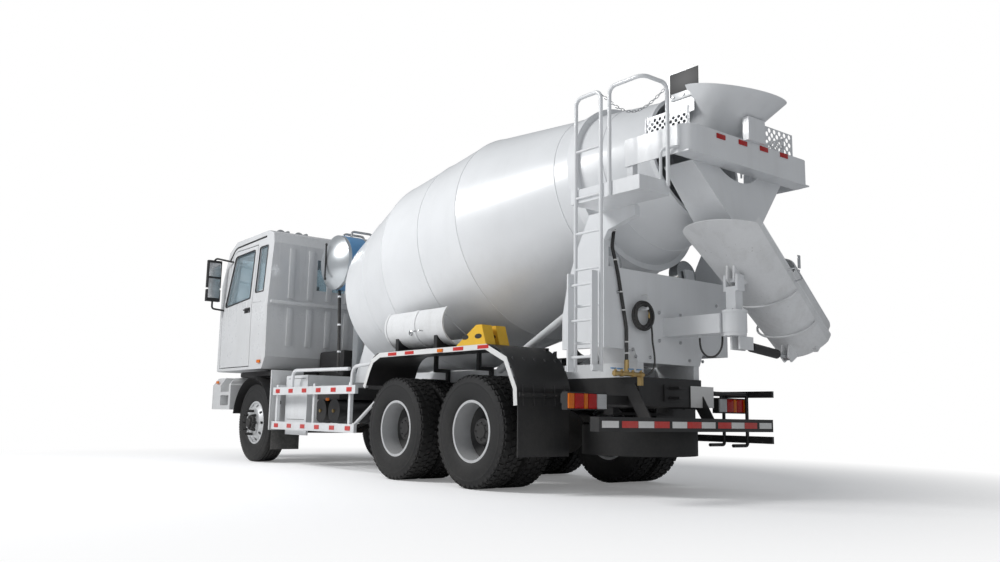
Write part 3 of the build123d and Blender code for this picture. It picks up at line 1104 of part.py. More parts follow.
with BuildPart() as cab_shell:
    add(cab_block(CAB_SIDE, 0))
    add(cab_block(CAB_INSIDE, CAB_WALL), mode=Mode.SUBTRACT)
    extrude(grown(DOOR_SIDE, 0), amount=1500, both=True, mode=Mode.SUBTRACT)
    extrude(grown(QUARTER_WINDOW, 0), amount=1500, both=True, mode=Mode.SUBTRACT)
    # windscreen and rear window
    with BuildSketch(Plane.YZ.offset(ahead(6250))):
        with Locations((0, 2670)):
            Rectangle(1960, 760)
    extrude(amount=600, mode=Mode.SUBTRACT)
    slab(CAB_REAR_X - 10, CAB_REAR_X + CAB_WALL + 10, -500, 500, 2450, 2900, mode=Mode.SUBTRACT)
    # cranked arms down to the tilt pins
    for side in (-1, 1):
        arm_y = sorted((side * (RAIL_OUT_Y + 15), side * (RAIL_OUT_Y + 55)))
        side_prism([(CAB_PIVOT_X + 40, CAB_PIVOT_Z - 38), (CAB_PIVOT_X + 40, CAB_PIVOT_Z + 40),
                    (CAB_PIVOT_X - 170, CAB_PIVOT_Z + 195), (CAB_PIVOT_X - 170, CAB_FOOT_Z + 20),
                    (CAB_PIVOT_X - 270, CAB_FOOT_Z + 20), (CAB_PIVOT_X - 270, CAB_PIVOT_Z + 160),
                    (CAB_PIVOT_X - 38, CAB_PIVOT_Z - 38)], *arm_y)
        rod((CAB_PIVOT_X, arm_y[0] - 10, CAB_PIVOT_Z), (CAB_PIVOT_X, arm_y[1] + 10, CAB_PIVOT_Z),
            CAB_PIN_R + FIT, mode=Mode.SUBTRACT)
cab_shell.part.label = "cab_shell"
export_step(cab_shell.part, "parts/cab_shell.step")

GLASS = 6


def side_pane(window, side):
    """A flat pane that fills a side window, set in from the cab's sloping side."""
    lean = (BODY_HALF_WIDTH - ROOF_HALF_WIDTH) / 1200
    foot, top = 2200, 3150
    foot_y = BODY_HALF_WIDTH - 22 - (foot - 2200) * lean
    top_y = BODY_HALF_WIDTH - 22 - (top - 2200) * lean
    with BuildPart() as pane:
        with BuildSketch(Plane.YZ.offset(ahead(4800))) as section:
            with BuildLine():
                Polyline((side * foot_y, foot), (side * (foot_y - GLASS), foot),
                         (side * (top_y - GLASS), top), (side * top_y, top), close=True)
            make_face()
        extrude(section.sketch, amount=1800)
        extrude(grown(window, 0), amount=1500, both=True, mode=Mode.INTERSECT)
    return pane.part


SCREEN_LEAN = (6700 - 6400) / (3130 - 2150)
with BuildPart() as cab_glass:
    with BuildSketch(Plane.XZ.offset(-980)):
        with BuildLine():
            Polyline((ahead(6700 - 140 * SCREEN_LEAN - 24), 2290),
                     (ahead(6700 - 140 * SCREEN_LEAN - 16), 2290),
                     (ahead(6700 - 900 * SCREEN_LEAN - 16), 3050),
                     (ahead(6700 - 900 * SCREEN_LEAN - 24), 3050), close=True)
        make_face()
    extrude(amount=1960)
    slab(CAB_REAR_X + 20, CAB_REAR_X + 20 + GLASS, -500, 500, 2450, 2900)
    for side in (-1, 1):
        add(side_pane(QUARTER_WINDOW, side))
cab_glass.part.label = "cab_glass"
export_step(cab_glass.part, "parts/cab_glass.step")

with BuildPart() as cab_interior:
    # dashboard, two seats on one floor
    slab(ahead(4900), ahead(6600), -1100, 1100, 1345, 1400)
    slab(ahead(6250), ahead(6600), -1100, 1100, 1400, 2150)
    for y in (-560, 560):
        slab(ahead(5200), ahead(5720), y - 260, y + 260, 1400, 1860)
        slab(ahead(5080), ahead(5230), y - 260, y + 260, 1750, 2560)
        slab(ahead(5090), ahead(5180), y - 130, y + 130, 2560, 2760)
    rod((ahead(6260), 560, 2000), (ahead(6020), 560, 2150), 30)
    rod((ahead(6020), 560, 2150), (ahead(5990), 560, 2169), 225)
cab_interior.part.label = "cab_interior"
export_step(cab_interior.part, "parts/cab_interior.step")

MIRROR_X = ahead(6330)
HINGE_X = DOOR_FRONT_X - DOOR_GAP
HINGE_Y = BODY_HALF_WIDTH - 1
HINGE_R = 7
for side_name, side in SIDES:
    with BuildPart() as door:
        add(cab_block(CAB_SIDE, 0))
        add(cab_block(CAB_INSIDE, CAB_WALL), mode=Mode.SUBTRACT)
        extrude(grown(DOOR_SIDE, -DOOR_GAP), amount=-side * 1500, mode=Mode.INTERSECT)
        extrude(grown(DOOR_WINDOW, 0), amount=1500, both=True, mode=Mode.SUBTRACT)
        slab(DOOR_REAR_X, DOOR_FRONT_X, -1120, 1120, CAB_FOOT_Z, 1400, mode=Mode.SUBTRACT)
        # hinge knuckles at the front edge
        for z in (1500, 2050):
            rod((HINGE_X, side * HINGE_Y, z), (HINGE_X, side * HINGE_Y, z + 70), HINGE_R)
    door.part.label = f"door_{side_name}"
    export_step(door.part, f"parts/door_{side_name}.step")

    with BuildPart() as door_glass:
        add(side_pane(DOOR_WINDOW, side))
    door_glass.part.label = f"door_glass_{side_name}"
    export_step(door_glass.part, f"parts/door_glass_{side_name}.step")

    with BuildPart() as mirror:
        slab(MIRROR_X, MIRROR_X + 70, side * 1330, side * 1540, 2560, 2980)
        slab(MIRROR_X, MIRROR_X + 70, side * 1330, side * 1540, 2350, 2530)
        bent_tube([(MIRROR_X + 35, side * 1200, 2220), (MIRROR_X + 35, side * 1435, 2240),
                   (MIRROR_X + 35, side * 1435, 3020), (ahead(6185), side * 1180, 2960)], 14, 40)
        add(door.part, mode=Mode.SUBTRACT)
    mirror.part.label = f"mirror_{side_name}"
    export_step(mirror.part, f"parts/mirror_{side_name}.step")

# --- hoses and wash manifold at the rear pedestal ------------------------------------------
HOSE_R = 16
WATER_HOSE_X = PEDESTAL_REAR_X - HOSE_R
with BuildPart() as water_hose:
    bent_tube([(WATER_HOSE_X, 735, 2480), (WATER_HOSE_X, 780, 2200), (WATER_HOSE_X, 705, 1960),
               (WATER_HOSE_X, 600, 1480), (WATER_HOSE_X, 600, 1200)], HOSE_R, 120)
water_hose.part.label = "water_hose"
export_step(water_hose.part, "parts/water_hose.step")

COIL_X = ahead(-1482)
COIL_R = 118
COIL_THICK_R = 42
TAIL_R = 9
with BuildPart() as wash_hose_coil:
    with Locations((COIL_X, COIL_Y, COIL_Z)):
        Torus(COIL_R, COIL_THICK_R, rotation=(0, 90, 0))
    rod((COIL_X, COIL_Y - 120, COIL_Z), (COIL_X, COIL_Y - 120, COIL_Z - 150), TAIL_R)
wash_hose_coil.part.label = "wash_hose_coil"
export_step(wash_hose_coil.part, "parts/wash_hose_coil.step")


def hose_radii(points):
    """The largest arc that fits each corner: 0.45 of the shorter run over the half turn's tangent."""
    radii = []
    for before, corner, after in zip(points, points[1:], points[2:]):
        run_in = Vector(*corner) - Vector(*before)
        run_out = Vector(*after) - Vector(*corner)
        half_turn = radians(run_in.get_angle(run_out)) / 2
        radii.append(0.45 * min(run_in.length, run_out.length) / tan(half_turn))
    return radii


def free_hose(name, points, radius):
    """A hanging hose: straight runs joined by tangent arcs."""
    radii = hose_radii(points)
    print(name, "radii", [round(value) for value in radii])
    with BuildLine() as route:
        FilletPolyline(*points, radius=radii)
    with BuildSketch(Plane(origin=route.line @ 0, z_dir=route.line % 0)) as section:
        Circle(radius)
    sweep(section.sketch, path=route.line)
    print(name, "length", round(sum(edge.length for edge in route.line.edges())))


# the wash hose from its coil down and round into the manifold (y, z)
MANIFOLD_Z = 1075
TAIL_ROUTE = [(300, 1455), (300, 1385), (282, 1312), (270.6, 1243.5), (269.5, 1181.5), (289.7, 1131.4),
              (325.1, 1096), (377, MANIFOLD_Z), (425, MANIFOLD_Z)]
with BuildPart() as wash_hose_tail:
    free_hose("wash_hose_tail", [(COIL_X, y, z) for y, z in TAIL_ROUTE], TAIL_R)
wash_hose_tail.part.label = "wash_hose_tail"
export_step(wash_hose_tail.part, "parts/wash_hose_tail.step")

# the lift cylinder's feed, hanging in a loop below the arm (station, z)
CHUTE_HOSE_R = 9
LOOP_ROUTE = [(FITTING_STATIONS[0], ARM_Z[0] - FITTING_HEIGHT), (-1747, 1352), (-1776, 1286),
              (-1834, 1243), (-1910, 1243), (-1968, 1286), (-1997, 1352),
              (FITTING_STATIONS[1], ARM_Z[0] - FITTING_HEIGHT)]
with BuildPart() as chute_hose:
    free_hose("chute_hose", [(ahead(station), FITTING_Y, z) for station, z in LOOP_ROUTE],
              CHUTE_HOSE_R)
chute_hose.part.label = "chute_hose"
export_step(chute_hose.part, "parts/chute_hose.step")

with BuildPart() as wash_manifold:
    rod((COIL_X, 800, MANIFOLD_Z), (COIL_X, TAIL_ROUTE[-1][0], MANIFOLD_Z), 20)
    rod((WATER_HOSE_X, 600, MANIFOLD_Z), (WATER_HOSE_X, 600, 1200), 22)
    slab(COIL_X, WATER_HOSE_X, 580, 620, MANIFOLD_Z - 15, MANIFOLD_Z + 15)
    slab(COIL_X - 6, FRAME_REAR_X - END_PLATE, 430, 460, 980, MANIFOLD_Z)
wash_manifold.part.label = "wash_manifold"
export_step(wash_manifold.part, "parts/wash_manifold.step")
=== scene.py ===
# %% [markdown]
# # A concrete mixer truck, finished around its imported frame
# The truck arrives as exact CAD solids: frame, axles, drum, chute, cab. This lesson gives every
# one of them a real finish and adds the small things that CAD leaves out: tyre treads, wheel
# nuts, lamps, reflectors, hoses, perforated guards. Each step is one cell that can be read alone.

# %% Load the frame
from math import cos, pi, radians, sin

import bmesh
import bpy
from mathutils import Matrix, Vector


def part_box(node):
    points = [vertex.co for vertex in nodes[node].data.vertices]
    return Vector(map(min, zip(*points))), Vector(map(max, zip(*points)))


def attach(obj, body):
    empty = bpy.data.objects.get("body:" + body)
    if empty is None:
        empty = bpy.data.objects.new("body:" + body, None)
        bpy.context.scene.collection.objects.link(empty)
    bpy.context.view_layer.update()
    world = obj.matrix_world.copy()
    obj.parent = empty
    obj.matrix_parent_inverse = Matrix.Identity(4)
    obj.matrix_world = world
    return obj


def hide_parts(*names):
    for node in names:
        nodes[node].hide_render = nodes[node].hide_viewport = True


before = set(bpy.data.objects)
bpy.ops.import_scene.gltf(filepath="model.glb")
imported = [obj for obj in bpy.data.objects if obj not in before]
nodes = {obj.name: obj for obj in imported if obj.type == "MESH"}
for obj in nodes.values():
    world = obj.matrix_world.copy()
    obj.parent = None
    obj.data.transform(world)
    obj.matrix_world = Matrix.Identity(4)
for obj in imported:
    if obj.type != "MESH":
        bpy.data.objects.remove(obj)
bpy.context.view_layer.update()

# %% [markdown]
# ## Where things are
# The rearmost axle is the truck's own zero along its length. Everything measured along the truck
# is a "station": metres ahead of that axle. The wheels' boxes in the frame give the axles.

# %% Stations along the truck
def middle(node):
    """Centre of a CAD node's box."""
    low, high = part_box(node)
    return (low + high) / 2


REAR_AXLE_X = middle("rear_rims_left").x
WHEEL_Z = middle("rear_tyres_left").z
TYRE_R = (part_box("rear_tyres_left")[1].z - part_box("rear_tyres_left")[0].z) / 2


def at(station):
    """The x of a station."""
    return REAR_AXLE_X + station


def show(made):
    """Puts an object in the scene and returns it."""
    bpy.context.scene.collection.objects.link(made)
    return made


print("rear axle x", round(REAR_AXLE_X, 3), "tyre radius", round(TYRE_R, 4))

# %% [markdown]
# ## Camera
# A low camera behind the truck's left corner, a little below the hubs' height and looking up at
# the drum, so that the wheels, the chute and the underside of the drum all show. A 32 mm lens on
# a 36 mm sensor gives the mild perspective of someone standing eight metres away.

# %% Camera
CAMERA_PLACE = Vector((-8.8897, 6.3436, 0.6939))
CAMERA_YAW, CAMERA_PITCH, CAMERA_ROLL = -0.674079, 0.151969, 0.017036
ahead_dir = Vector((cos(CAMERA_PITCH) * cos(CAMERA_YAW), cos(CAMERA_PITCH) * sin(CAMERA_YAW),
                    sin(CAMERA_PITCH)))
right_dir = ahead_dir.cross(Vector((0, 0, 1))).normalized()
up_dir = right_dir.cross(ahead_dir)
rolled_right = right_dir * cos(CAMERA_ROLL) + up_dir * sin(CAMERA_ROLL)
rolled_up = up_dir * cos(CAMERA_ROLL) - right_dir * sin(CAMERA_ROLL)
camera_data = bpy.data.cameras.new("camera")
camera_data.sensor_width = 36
camera_data.lens = 31.6785
camera_data.clip_end = 200
camera = show(bpy.data.objects.new("camera", camera_data))
camera.matrix_world = Matrix.Translation(CAMERA_PLACE) @ Matrix(
    (rolled_right, rolled_up, -ahead_dir)).transposed().to_4x4()
bpy.context.scene.camera = camera
print("camera height", round(camera.location.z, 3), "m")

# %% [markdown]
# ## Shader building blocks
# A material here is a Principled shader whose colour, roughness and bump come from node groups.
# `wire` joins a socket or a plain value to an input, and `put` places a node with its inputs
# already wired. They keep the node trees readable as text.

# %% Node helpers
def wire(tree, source, target):
    """Joins an output socket to an input, or sets the input to a plain value."""
    if isinstance(source, bpy.types.NodeSocket):
        tree.links.new(source, target)
    else:
        target.default_value = source


def put(tree, kind, values=None, **settings):
    """Adds a node, sets its own settings, then wires its inputs by name or number."""
    node = tree.nodes.new(kind)
    for key, value in settings.items():
        setattr(node, key, value)
    for key, value in (values or {}).items():
        wire(tree, value, node.inputs[key])
    return node


def new_material(name):
    """An empty node material; returns it with its tree and its Principled shader."""
    material = bpy.data.materials.new(name)
    material.use_nodes = True
    return material, material.node_tree, material.node_tree.nodes["Principled BSDF"]


SOCKETS = {"colour": "NodeSocketColor", "number": "NodeSocketFloat", "vector": "NodeSocketVector",
           "mesh": "NodeSocketGeometry", "count": "NodeSocketInt", "finish": "NodeSocketMaterial"}


def group_tree(name, inputs, outputs, kind="ShaderNodeTree"):
    """A node group with named sockets; returns the tree, what it gets and what it gives."""
    tree = bpy.data.node_groups.new(name, kind)
    for title, sort, value in inputs:
        made = tree.interface.new_socket(title, in_out="INPUT", socket_type=SOCKETS[sort])
        if value is not None:
            made.default_value = value
    for title, sort in outputs:
        tree.interface.new_socket(title, in_out="OUTPUT", socket_type=SOCKETS[sort])
    return tree, tree.nodes.new("NodeGroupInput").outputs, tree.nodes.new("NodeGroupOutput").inputs


def maths(tree, operation, first, second=None, clamp=False):
    """A Math node on two sockets or numbers; returns its output."""
    values = {0: first} if second is None else {0: first, 1: second}
    return put(tree, "ShaderNodeMath", values, operation=operation, use_clamp=clamp).outputs[0]


def times(tree, first, second, clamp=False):
    """The product of two sockets or numbers."""
    return maths(tree, "MULTIPLY", first, second, clamp)


def noise(tree, place, scale, detail=4.0, rough=0.55, stretch=None):
    """Noise on a position, stretched if asked; returns its 0 to 1 output."""
    if stretch:
        place = put(tree, "ShaderNodeMapping", {"Vector": place, "Scale": stretch}).outputs["Vector"]
    return put(tree, "ShaderNodeTexNoise", {"Vector": place, "Scale": scale, "Detail": detail,
                                            "Roughness": rough}).outputs["Fac"]


def spread(tree, value, low, high, out_low=0.0, out_high=1.0):
    """A clamped Map Range from low..high to out_low..out_high; sockets or numbers."""
    return put(tree, "ShaderNodeMapRange", {"Value": value, "From Min": low, "From Max": high,
                                            "To Min": out_low, "To Max": out_high}).outputs["Result"]


def blend_colour(tree, amount, first, second):
    """Mixes two colours by an amount; returns the colour output."""
    return put(tree, "ShaderNodeMix", {0: amount, 6: first, 7: second}, data_type="RGBA").outputs[2]


print("socket kinds", len(SOCKETS))

# %% [markdown]
# ## Weather and wear as node groups
# A working truck is dirty in a pattern: dust and dried splashes low down, thin vertical rain
# streaks on the sides, and a fine speckle everywhere. One group, `weathered`, does all of it from
# the height above the road (Object Z, because every object's origin is on the ground).

# %% Weathered surface group
def make_weathered():
    """Colour, roughness and height of a surface that road dirt and rain have worked on."""
    tree, get, give = group_tree(
        "weathered",
        [("Clean", "colour", (0.8, 0.8, 0.8, 1)), ("Dirt", "colour", (0.3, 0.27, 0.23, 1)),
         ("Clean Roughness", "number", 0.35), ("Dirt Roughness", "number", 0.85),
         ("Dirt Foot", "number", 0.2), ("Dirt Head", "number", 1.6), ("Dirt Amount", "number", 0.6),
         ("Streaks", "number", 0.15), ("Grain", "number", 180.0)],
        [("Colour", "colour"), ("Roughness", "number"), ("Height", "number")])
    place = put(tree, "ShaderNodeTexCoord").outputs["Object"]
    height = put(tree, "ShaderNodeSeparateXYZ", {0: place}).outputs["Z"]
    low = spread(tree, height, get["Dirt Foot"], get["Dirt Head"], 1.0, 0.0)
    patches = spread(tree, noise(tree, place, 2.6, 8.0, 0.62), 0.34, 0.66)
    speckle = spread(tree, noise(tree, place, 38.0, 3.0, 0.7), 0.45, 0.75)
    drips = spread(tree, noise(tree, place, 7.0, 5.0, 0.6, (1.0, 1.0, 0.07)), 0.5, 0.74)
    spots = maths(tree, "ADD", times(tree, patches, 0.7), times(tree, speckle, 0.45))
    splash = times(tree, low, spots, True)
    dirty = times(tree, splash, get["Dirt Amount"])
    dirty = maths(tree, "ADD", dirty, times(tree, drips, get["Streaks"]), True)
    cloud = spread(tree, noise(tree, place, 1.1, 3.0), 0.3, 0.7, 0.94, 1.03)
    shade = put(tree, "ShaderNodeVectorMath", {0: get["Clean"], "Scale": cloud}, operation="SCALE")
    wire(tree, blend_colour(tree, dirty, shade.outputs[0], get["Dirt"]), give["Colour"])
    wire(tree, spread(tree, dirty, 0.0, 1.0, get["Clean Roughness"], get["Dirt Roughness"]),
         give["Roughness"])
    fine = noise(tree, place, get["Grain"], 2.0)
    wire(tree, maths(tree, "ADD", times(tree, fine, 0.3), times(tree, dirty, 0.7)),
         give["Height"])
    return tree


WEATHERED = make_weathered()
print("group", WEATHERED.name, "sockets", len(WEATHERED.interface.items_tree))

# %% [markdown]
# Bare and painted steel under a truck also chips and rusts. `chipped` lays small islands of a
# second colour over the first, with their own roughness, and is used after `weathered`.

# %% Chipped surface group
def make_chipped():
    """Islands of an undercoat or rust that show through a finish."""
    tree, get, give = group_tree(
        "chipped",
        [("Over", "colour", (0.1, 0.1, 0.1, 1)), ("Under", "colour", (0.2, 0.1, 0.05, 1)),
         ("Over Roughness", "number", 0.5), ("Under Roughness", "number", 0.8),
         ("Chip Size", "number", 30.0), ("Chips", "number", 0.2)],
        [("Colour", "colour"), ("Roughness", "number"), ("Mask", "number")])
    place = put(tree, "ShaderNodeTexCoord").outputs["Object"]
    islands = noise(tree, place, get["Chip Size"], 6.0, 0.7)
    where = spread(tree, noise(tree, place, 3.0, 3.0), 0.4, 0.7)
    share = times(tree, get["Chips"], maths(tree, "ADD", times(tree, where, 0.5), 0.5))
    edge = maths(tree, "SUBTRACT", 0.78, share)
    mask = spread(tree, islands, edge, maths(tree, "ADD", edge, 0.03))
    wire(tree, blend_colour(tree, mask, get["Over"], get["Under"]), give["Colour"])
    wire(tree, spread(tree, mask, 0.0, 1.0, get["Over Roughness"], get["Under Roughness"]),
         give["Roughness"])
    wire(tree, mask, give["Mask"])
    return tree


CHIPPED = make_chipped()
print("group", CHIPPED.name)

# %% [markdown]
# ## One function for most finishes
# `finish` makes a Principled material: base colour through `weathered`, chips on top where asked,
# and a Bump from the group's height. What is the same all over a surface (metallic, coat, index
# of refraction) is set on the shader's own sockets.

# %% Finish function
BUMP_DEPTH = 0.004


def finish(name, colour, rough=0.4, dirt=(0.30, 0.27, 0.235, 1), dirt_rough=0.85, foot=0.2, head=1.5,
           amount=0.5, streaks=0.12, grain=180.0, bump=0.05, metallic=0.0, coat=0.0, chips=None,
           specular=0.5):
    """A painted, plastic, rubber or metal finish with its own weather."""
    material, tree, shader = new_material(name)
    for title, value in (("Metallic", metallic), ("Coat Weight", coat), ("Coat Roughness", 0.08),
                         ("Specular IOR Level", specular)):
        shader.inputs[title].default_value = value
    weather = put(tree, "ShaderNodeGroup", {
        "Clean": (*colour, 1), "Dirt": dirt, "Clean Roughness": rough, "Dirt Roughness": dirt_rough,
        "Dirt Foot": foot, "Dirt Head": head, "Dirt Amount": amount, "Streaks": streaks,
        "Grain": grain}, node_tree=WEATHERED)
    top = weather.outputs
    if chips:
        under, size, share = chips
        top = put(tree, "ShaderNodeGroup", {
            "Over": top["Colour"], "Over Roughness": top["Roughness"], "Under": (*under, 1),
            "Chip Size": size, "Chips": share}, node_tree=CHIPPED).outputs
    wire(tree, top["Colour"], shader.inputs["Base Color"])
    wire(tree, top["Roughness"], shader.inputs["Roughness"])
    bumps = put(tree, "ShaderNodeBump", {"Height": weather.outputs["Height"], "Strength": bump,
                                         "Distance": BUMP_DEPTH})
    wire(tree, bumps.outputs["Normal"], shader.inputs["Normal"])
    return material


print("bump depth", BUMP_DEPTH, "m")

# %% [markdown]
# ## The finishes of this truck
# White enamel on everything that touches concrete, black enamel on the chassis, pale grey cab
# paint, silver wheels, rubber, cast iron, stainless steel, brass, lamp plastic and glass.

# %% Materials
RUST = (0.22, 0.10, 0.045)
SPLASH = (0.36, 0.34, 0.31, 1)
white = finish("white_enamel", (0.74, 0.755, 0.77), 0.28, SPLASH, foot=0.3, head=1.7, amount=0.35,
               streaks=0.10, coat=0.3, grain=90.0, bump=0.03)
drum_white = finish("drum_enamel", (0.77, 0.785, 0.80), 0.3, (0.42, 0.42, 0.41, 1), foot=1.2, head=3.0,
                    amount=0.16, streaks=0.06, coat=0.25, grain=60.0, bump=0.03)
chute_white = finish("chute_enamel", (0.76, 0.77, 0.78), 0.4, (0.42, 0.415, 0.4, 1), foot=0.6, head=2.8,
                     amount=0.5, streaks=0.22, grain=120.0, bump=0.08,
                     chips=((0.34, 0.33, 0.31), 55.0, 0.16))
cab_paint = finish("cab_enamel", (0.64, 0.65, 0.66), 0.26, SPLASH, foot=0.6, head=2.4, amount=0.3,
                   streaks=0.08, coat=0.5, grain=70.0, bump=0.02)
black = finish("chassis_enamel", (0.014, 0.014, 0.015), 0.42, (0.12, 0.112, 0.10, 1), foot=0.1, head=1.5,
               amount=0.30, streaks=0.06, grain=140.0, bump=0.08, chips=(RUST, 45.0, 0.10))
matt_black = finish("black_plastic", (0.014, 0.014, 0.015), 0.55, (0.12, 0.112, 0.10, 1), foot=0.1,
                    head=1.6, amount=0.28, streaks=0.05, grain=260.0, bump=0.12)
silver = finish("wheel_silver", (0.62, 0.63, 0.64), 0.36, (0.30, 0.275, 0.245, 1), foot=-0.2, head=1.4,
                amount=0.38, streaks=0.0, metallic=0.35, grain=120.0, bump=0.05, chips=(RUST, 60.0, 0.07))
rubber = finish("tyre_rubber", (0.016, 0.016, 0.0165), 0.68, (0.14, 0.13, 0.115, 1), foot=-0.1, head=1.15,
                amount=0.20, streaks=0.0, grain=220.0, bump=0.18, specular=0.35)
hose_rubber = finish("hose_rubber", (0.014, 0.014, 0.015), 0.5, (0.30, 0.29, 0.27, 1), foot=0.9, head=2.6,
                     amount=0.3, streaks=0.05, grain=400.0, bump=0.1)
cast = finish("cast_iron", (0.035, 0.033, 0.032), 0.6, (0.16, 0.145, 0.125, 1), foot=0.1, head=1.3,
              amount=0.5, streaks=0.0, grain=160.0, bump=0.25, chips=(RUST, 25.0, 0.22))
stainless = finish("stainless", (0.62, 0.65, 0.67), 0.3, (0.36, 0.36, 0.35, 1), foot=0.3, head=2.6,
                   amount=0.3, streaks=0.12, metallic=0.85, grain=90.0, bump=0.03)
steel = finish("bright_steel", (0.60, 0.61, 0.62), 0.24, (0.2, 0.19, 0.18, 1), foot=0.2, head=2.2,
               amount=0.3, streaks=0.0, metallic=1.0, grain=260.0, bump=0.03)
brass = finish("brass", (0.62, 0.44, 0.19), 0.3, (0.17, 0.14, 0.1, 1), foot=0.6, head=2.0, amount=0.4,
               streaks=0.0, metallic=1.0, grain=300.0, bump=0.05)
yellow = finish("chock_plastic", (0.80, 0.47, 0.02), 0.42, (0.25, 0.2, 0.12, 1), foot=0.8, head=1.9,
                amount=0.4, streaks=0.1, grain=300.0, bump=0.08)
seat_cloth = finish("cab_trim", (0.07, 0.072, 0.078), 0.85, (0.1, 0.1, 0.1, 1), amount=0.1, grain=700.0,
                    bump=0.25)
print("materials", len(bpy.data.materials))

# %% [markdown]
# Glass keeps plain Metallic and Transmission sockets. The cab's panes are slightly blue and only
# half clear, as tinted truck glass looks from outside by day.

# %% Glass
def glass(name, tint, rough, clear):
    """A pane or lens: tinted, partly clear, with a faint film of dust in its roughness."""
    material, tree, shader = new_material(name)
    shader.inputs["Transmission Weight"].default_value = clear
    shader.inputs["IOR"].default_value = 1.45
    place = put(tree, "ShaderNodeTexCoord").outputs["Object"]
    film = noise(tree, place, 5.0, 5.0)
    wire(tree, spread(tree, film, 0.3, 0.8, rough, rough + 0.1), shader.inputs["Roughness"])
    darker = tuple(0.86 * value for value in tint)
    wire(tree, blend_colour(tree, film, (*darker, 1), (*tint, 1)), shader.inputs["Base Color"])
    return material


window_glass = glass("window_glass", (0.56, 0.68, 0.74), 0.03, 0.75)
dark_glass = glass("dark_glass", (0.05, 0.06, 0.07), 0.05, 0.2)
clear_lens = glass("clear_lens", (0.80, 0.81, 0.82), 0.08, 0.35)
red_lens = glass("red_lens", (0.52, 0.012, 0.010), 0.12, 0.15)
orange_lens = glass("orange_lens", (0.80, 0.19, 0.01), 0.12, 0.15)
print("glass materials made")

# %% [markdown]
# ## Dressing the CAD nodes
# A CAD node's mesh is never touched, only its material slot. The table pairs each finish with
# the nodes that wear it.

# %% Give each node its finish
WEARS = {
    white: ["mixer_subframe", "rear_pedestal", "platform", "charge_hopper", "discharge_funnel",
            "rear_crossbar", "folding_ladder", "side_guards", "side_cabinet", "chute_turntable"],
    chute_white: ["main_chute", "fold_chute", "stowed_chute"],
    drum_white: ["drum"],
    cab_paint: ["cab_shell", "door_left", "door_right", "front_bumper"],
    black: ["chassis_frame", "air_tanks", "underrun_bar", "rear_mudguards", "lift_barrel", "lamps"],
    cast: ["driveline", "front_axle", "rear_axles", "knuckle_left", "knuckle_right", "drum_gearbox"],
    stainless: ["water_tank", "fuel_tank"],
    steel: ["lift_rod", "roller_left", "roller_right"],
    hose_rubber: ["water_hose", "wash_hose_coil", "wash_hose_tail", "chute_hose"],
    brass: ["wash_manifold"],
    yellow: ["wheel_chocks"],
    seat_cloth: ["cab_interior"],
    matt_black: ["mirror_left", "mirror_right"],
    window_glass: ["cab_glass", "door_glass_left", "door_glass_right"],
    rubber: ["spare_wheel"] + [f"{place}_{side}" for side in ("left", "right")
                               for place in ("front_tyre", "mid_tyres", "rear_tyres")],
    silver: [f"{place}_{side}" for side in ("left", "right")
             for place in ("front_rim", "mid_rims", "rear_rims")],
}
for material, names in WEARS.items():
    for name in names:
        slots = nodes[name].data.materials
        slots.clear()
        slots.append(material)
bare = [name for name, node in nodes.items() if node.data.materials[0] not in WEARS]
print("nodes without a finish", bare)

# %% [markdown]
# ## Shape helpers
# Small parts are built in `bmesh` from bevelled blocks, tubes, turned shapes and plates.

# %% Bevelled blocks
def block(shape, low, high, paint=0, bevel=0.0):
    """A block between two corners, its edges rounded by the bevel."""
    low, high = [min(a, b) for a, b in zip(low, high)], [max(a, b) for a, b in zip(low, high)]
    size = Vector(high) - Vector(low)
    place = Matrix.Translation((Vector(low) + Vector(high)) / 2) @ Matrix.Diagonal((*size, 1))
    cube = bmesh.new()
    bmesh.ops.create_cube(cube, size=1.0, matrix=place)
    if bevel:
        bmesh.ops.bevel(cube, geom=list(cube.edges), offset=min(bevel, 0.45 * min(size)), segments=2,
                        affect="EDGES", profile=0.6)
    for face in cube.faces:
        face.material_index = paint
    mesh = bpy.data.meshes.new("cube")
    cube.to_mesh(mesh)
    cube.free()
    shape.from_mesh(mesh)
    bpy.data.meshes.remove(mesh)


probe = bmesh.new()
block(probe, (0, 0, 0), (1, 1, 1), 0, 0.1)
print("a bevelled block has", len(probe.faces), "faces")
probe.free()

# %% [markdown]
# Tubes follow a path. `frames` carries a pair of side directions along it without sudden twist,
# and `soft_path` rounds the corners of a bent bar.

# %% Tubes along a path
def frames(path, closed=False):
    """A moving pair of side directions along a path, without sudden twist."""
    path = [Vector(point) for point in path]
    count = len(path)
    result = []
    side = None
    for index, point in enumerate(path):
        before = path[index - 1] if index or closed else point
        after = path[(index + 1) % count] if index < count - 1 or closed else point
        along = (after - before).normalized()
        if side is None:
            side = along.orthogonal().normalized()
        side = (side - along * side.dot(along)).normalized()
        result.append((point, side, along.cross(side)))
    return result


def tube(shape, path, radius, paint=0, sides=12, closed=False):
    """A round bar or pipe along a path, with flat ends."""
    rings = []
    for point, side, other in frames(path, closed):
        rings.append([shape.verts.new(point + radius * (side * cos(2 * pi * k / sides)
                                                        + other * sin(2 * pi * k / sides)))
                      for k in range(sides)])
    pairs = list(zip(rings, rings[1:]))
    if closed:
        pairs.append((rings[-1], rings[0]))
    for first, second in pairs:
        for k in range(sides):
            shape.faces.new((first[k], first[(k + 1) % sides], second[(k + 1) % sides], second[k])
                            ).material_index = paint
    if not closed:
        for ring in (rings[0], rings[-1]):
            shape.faces.new(ring).material_index = paint


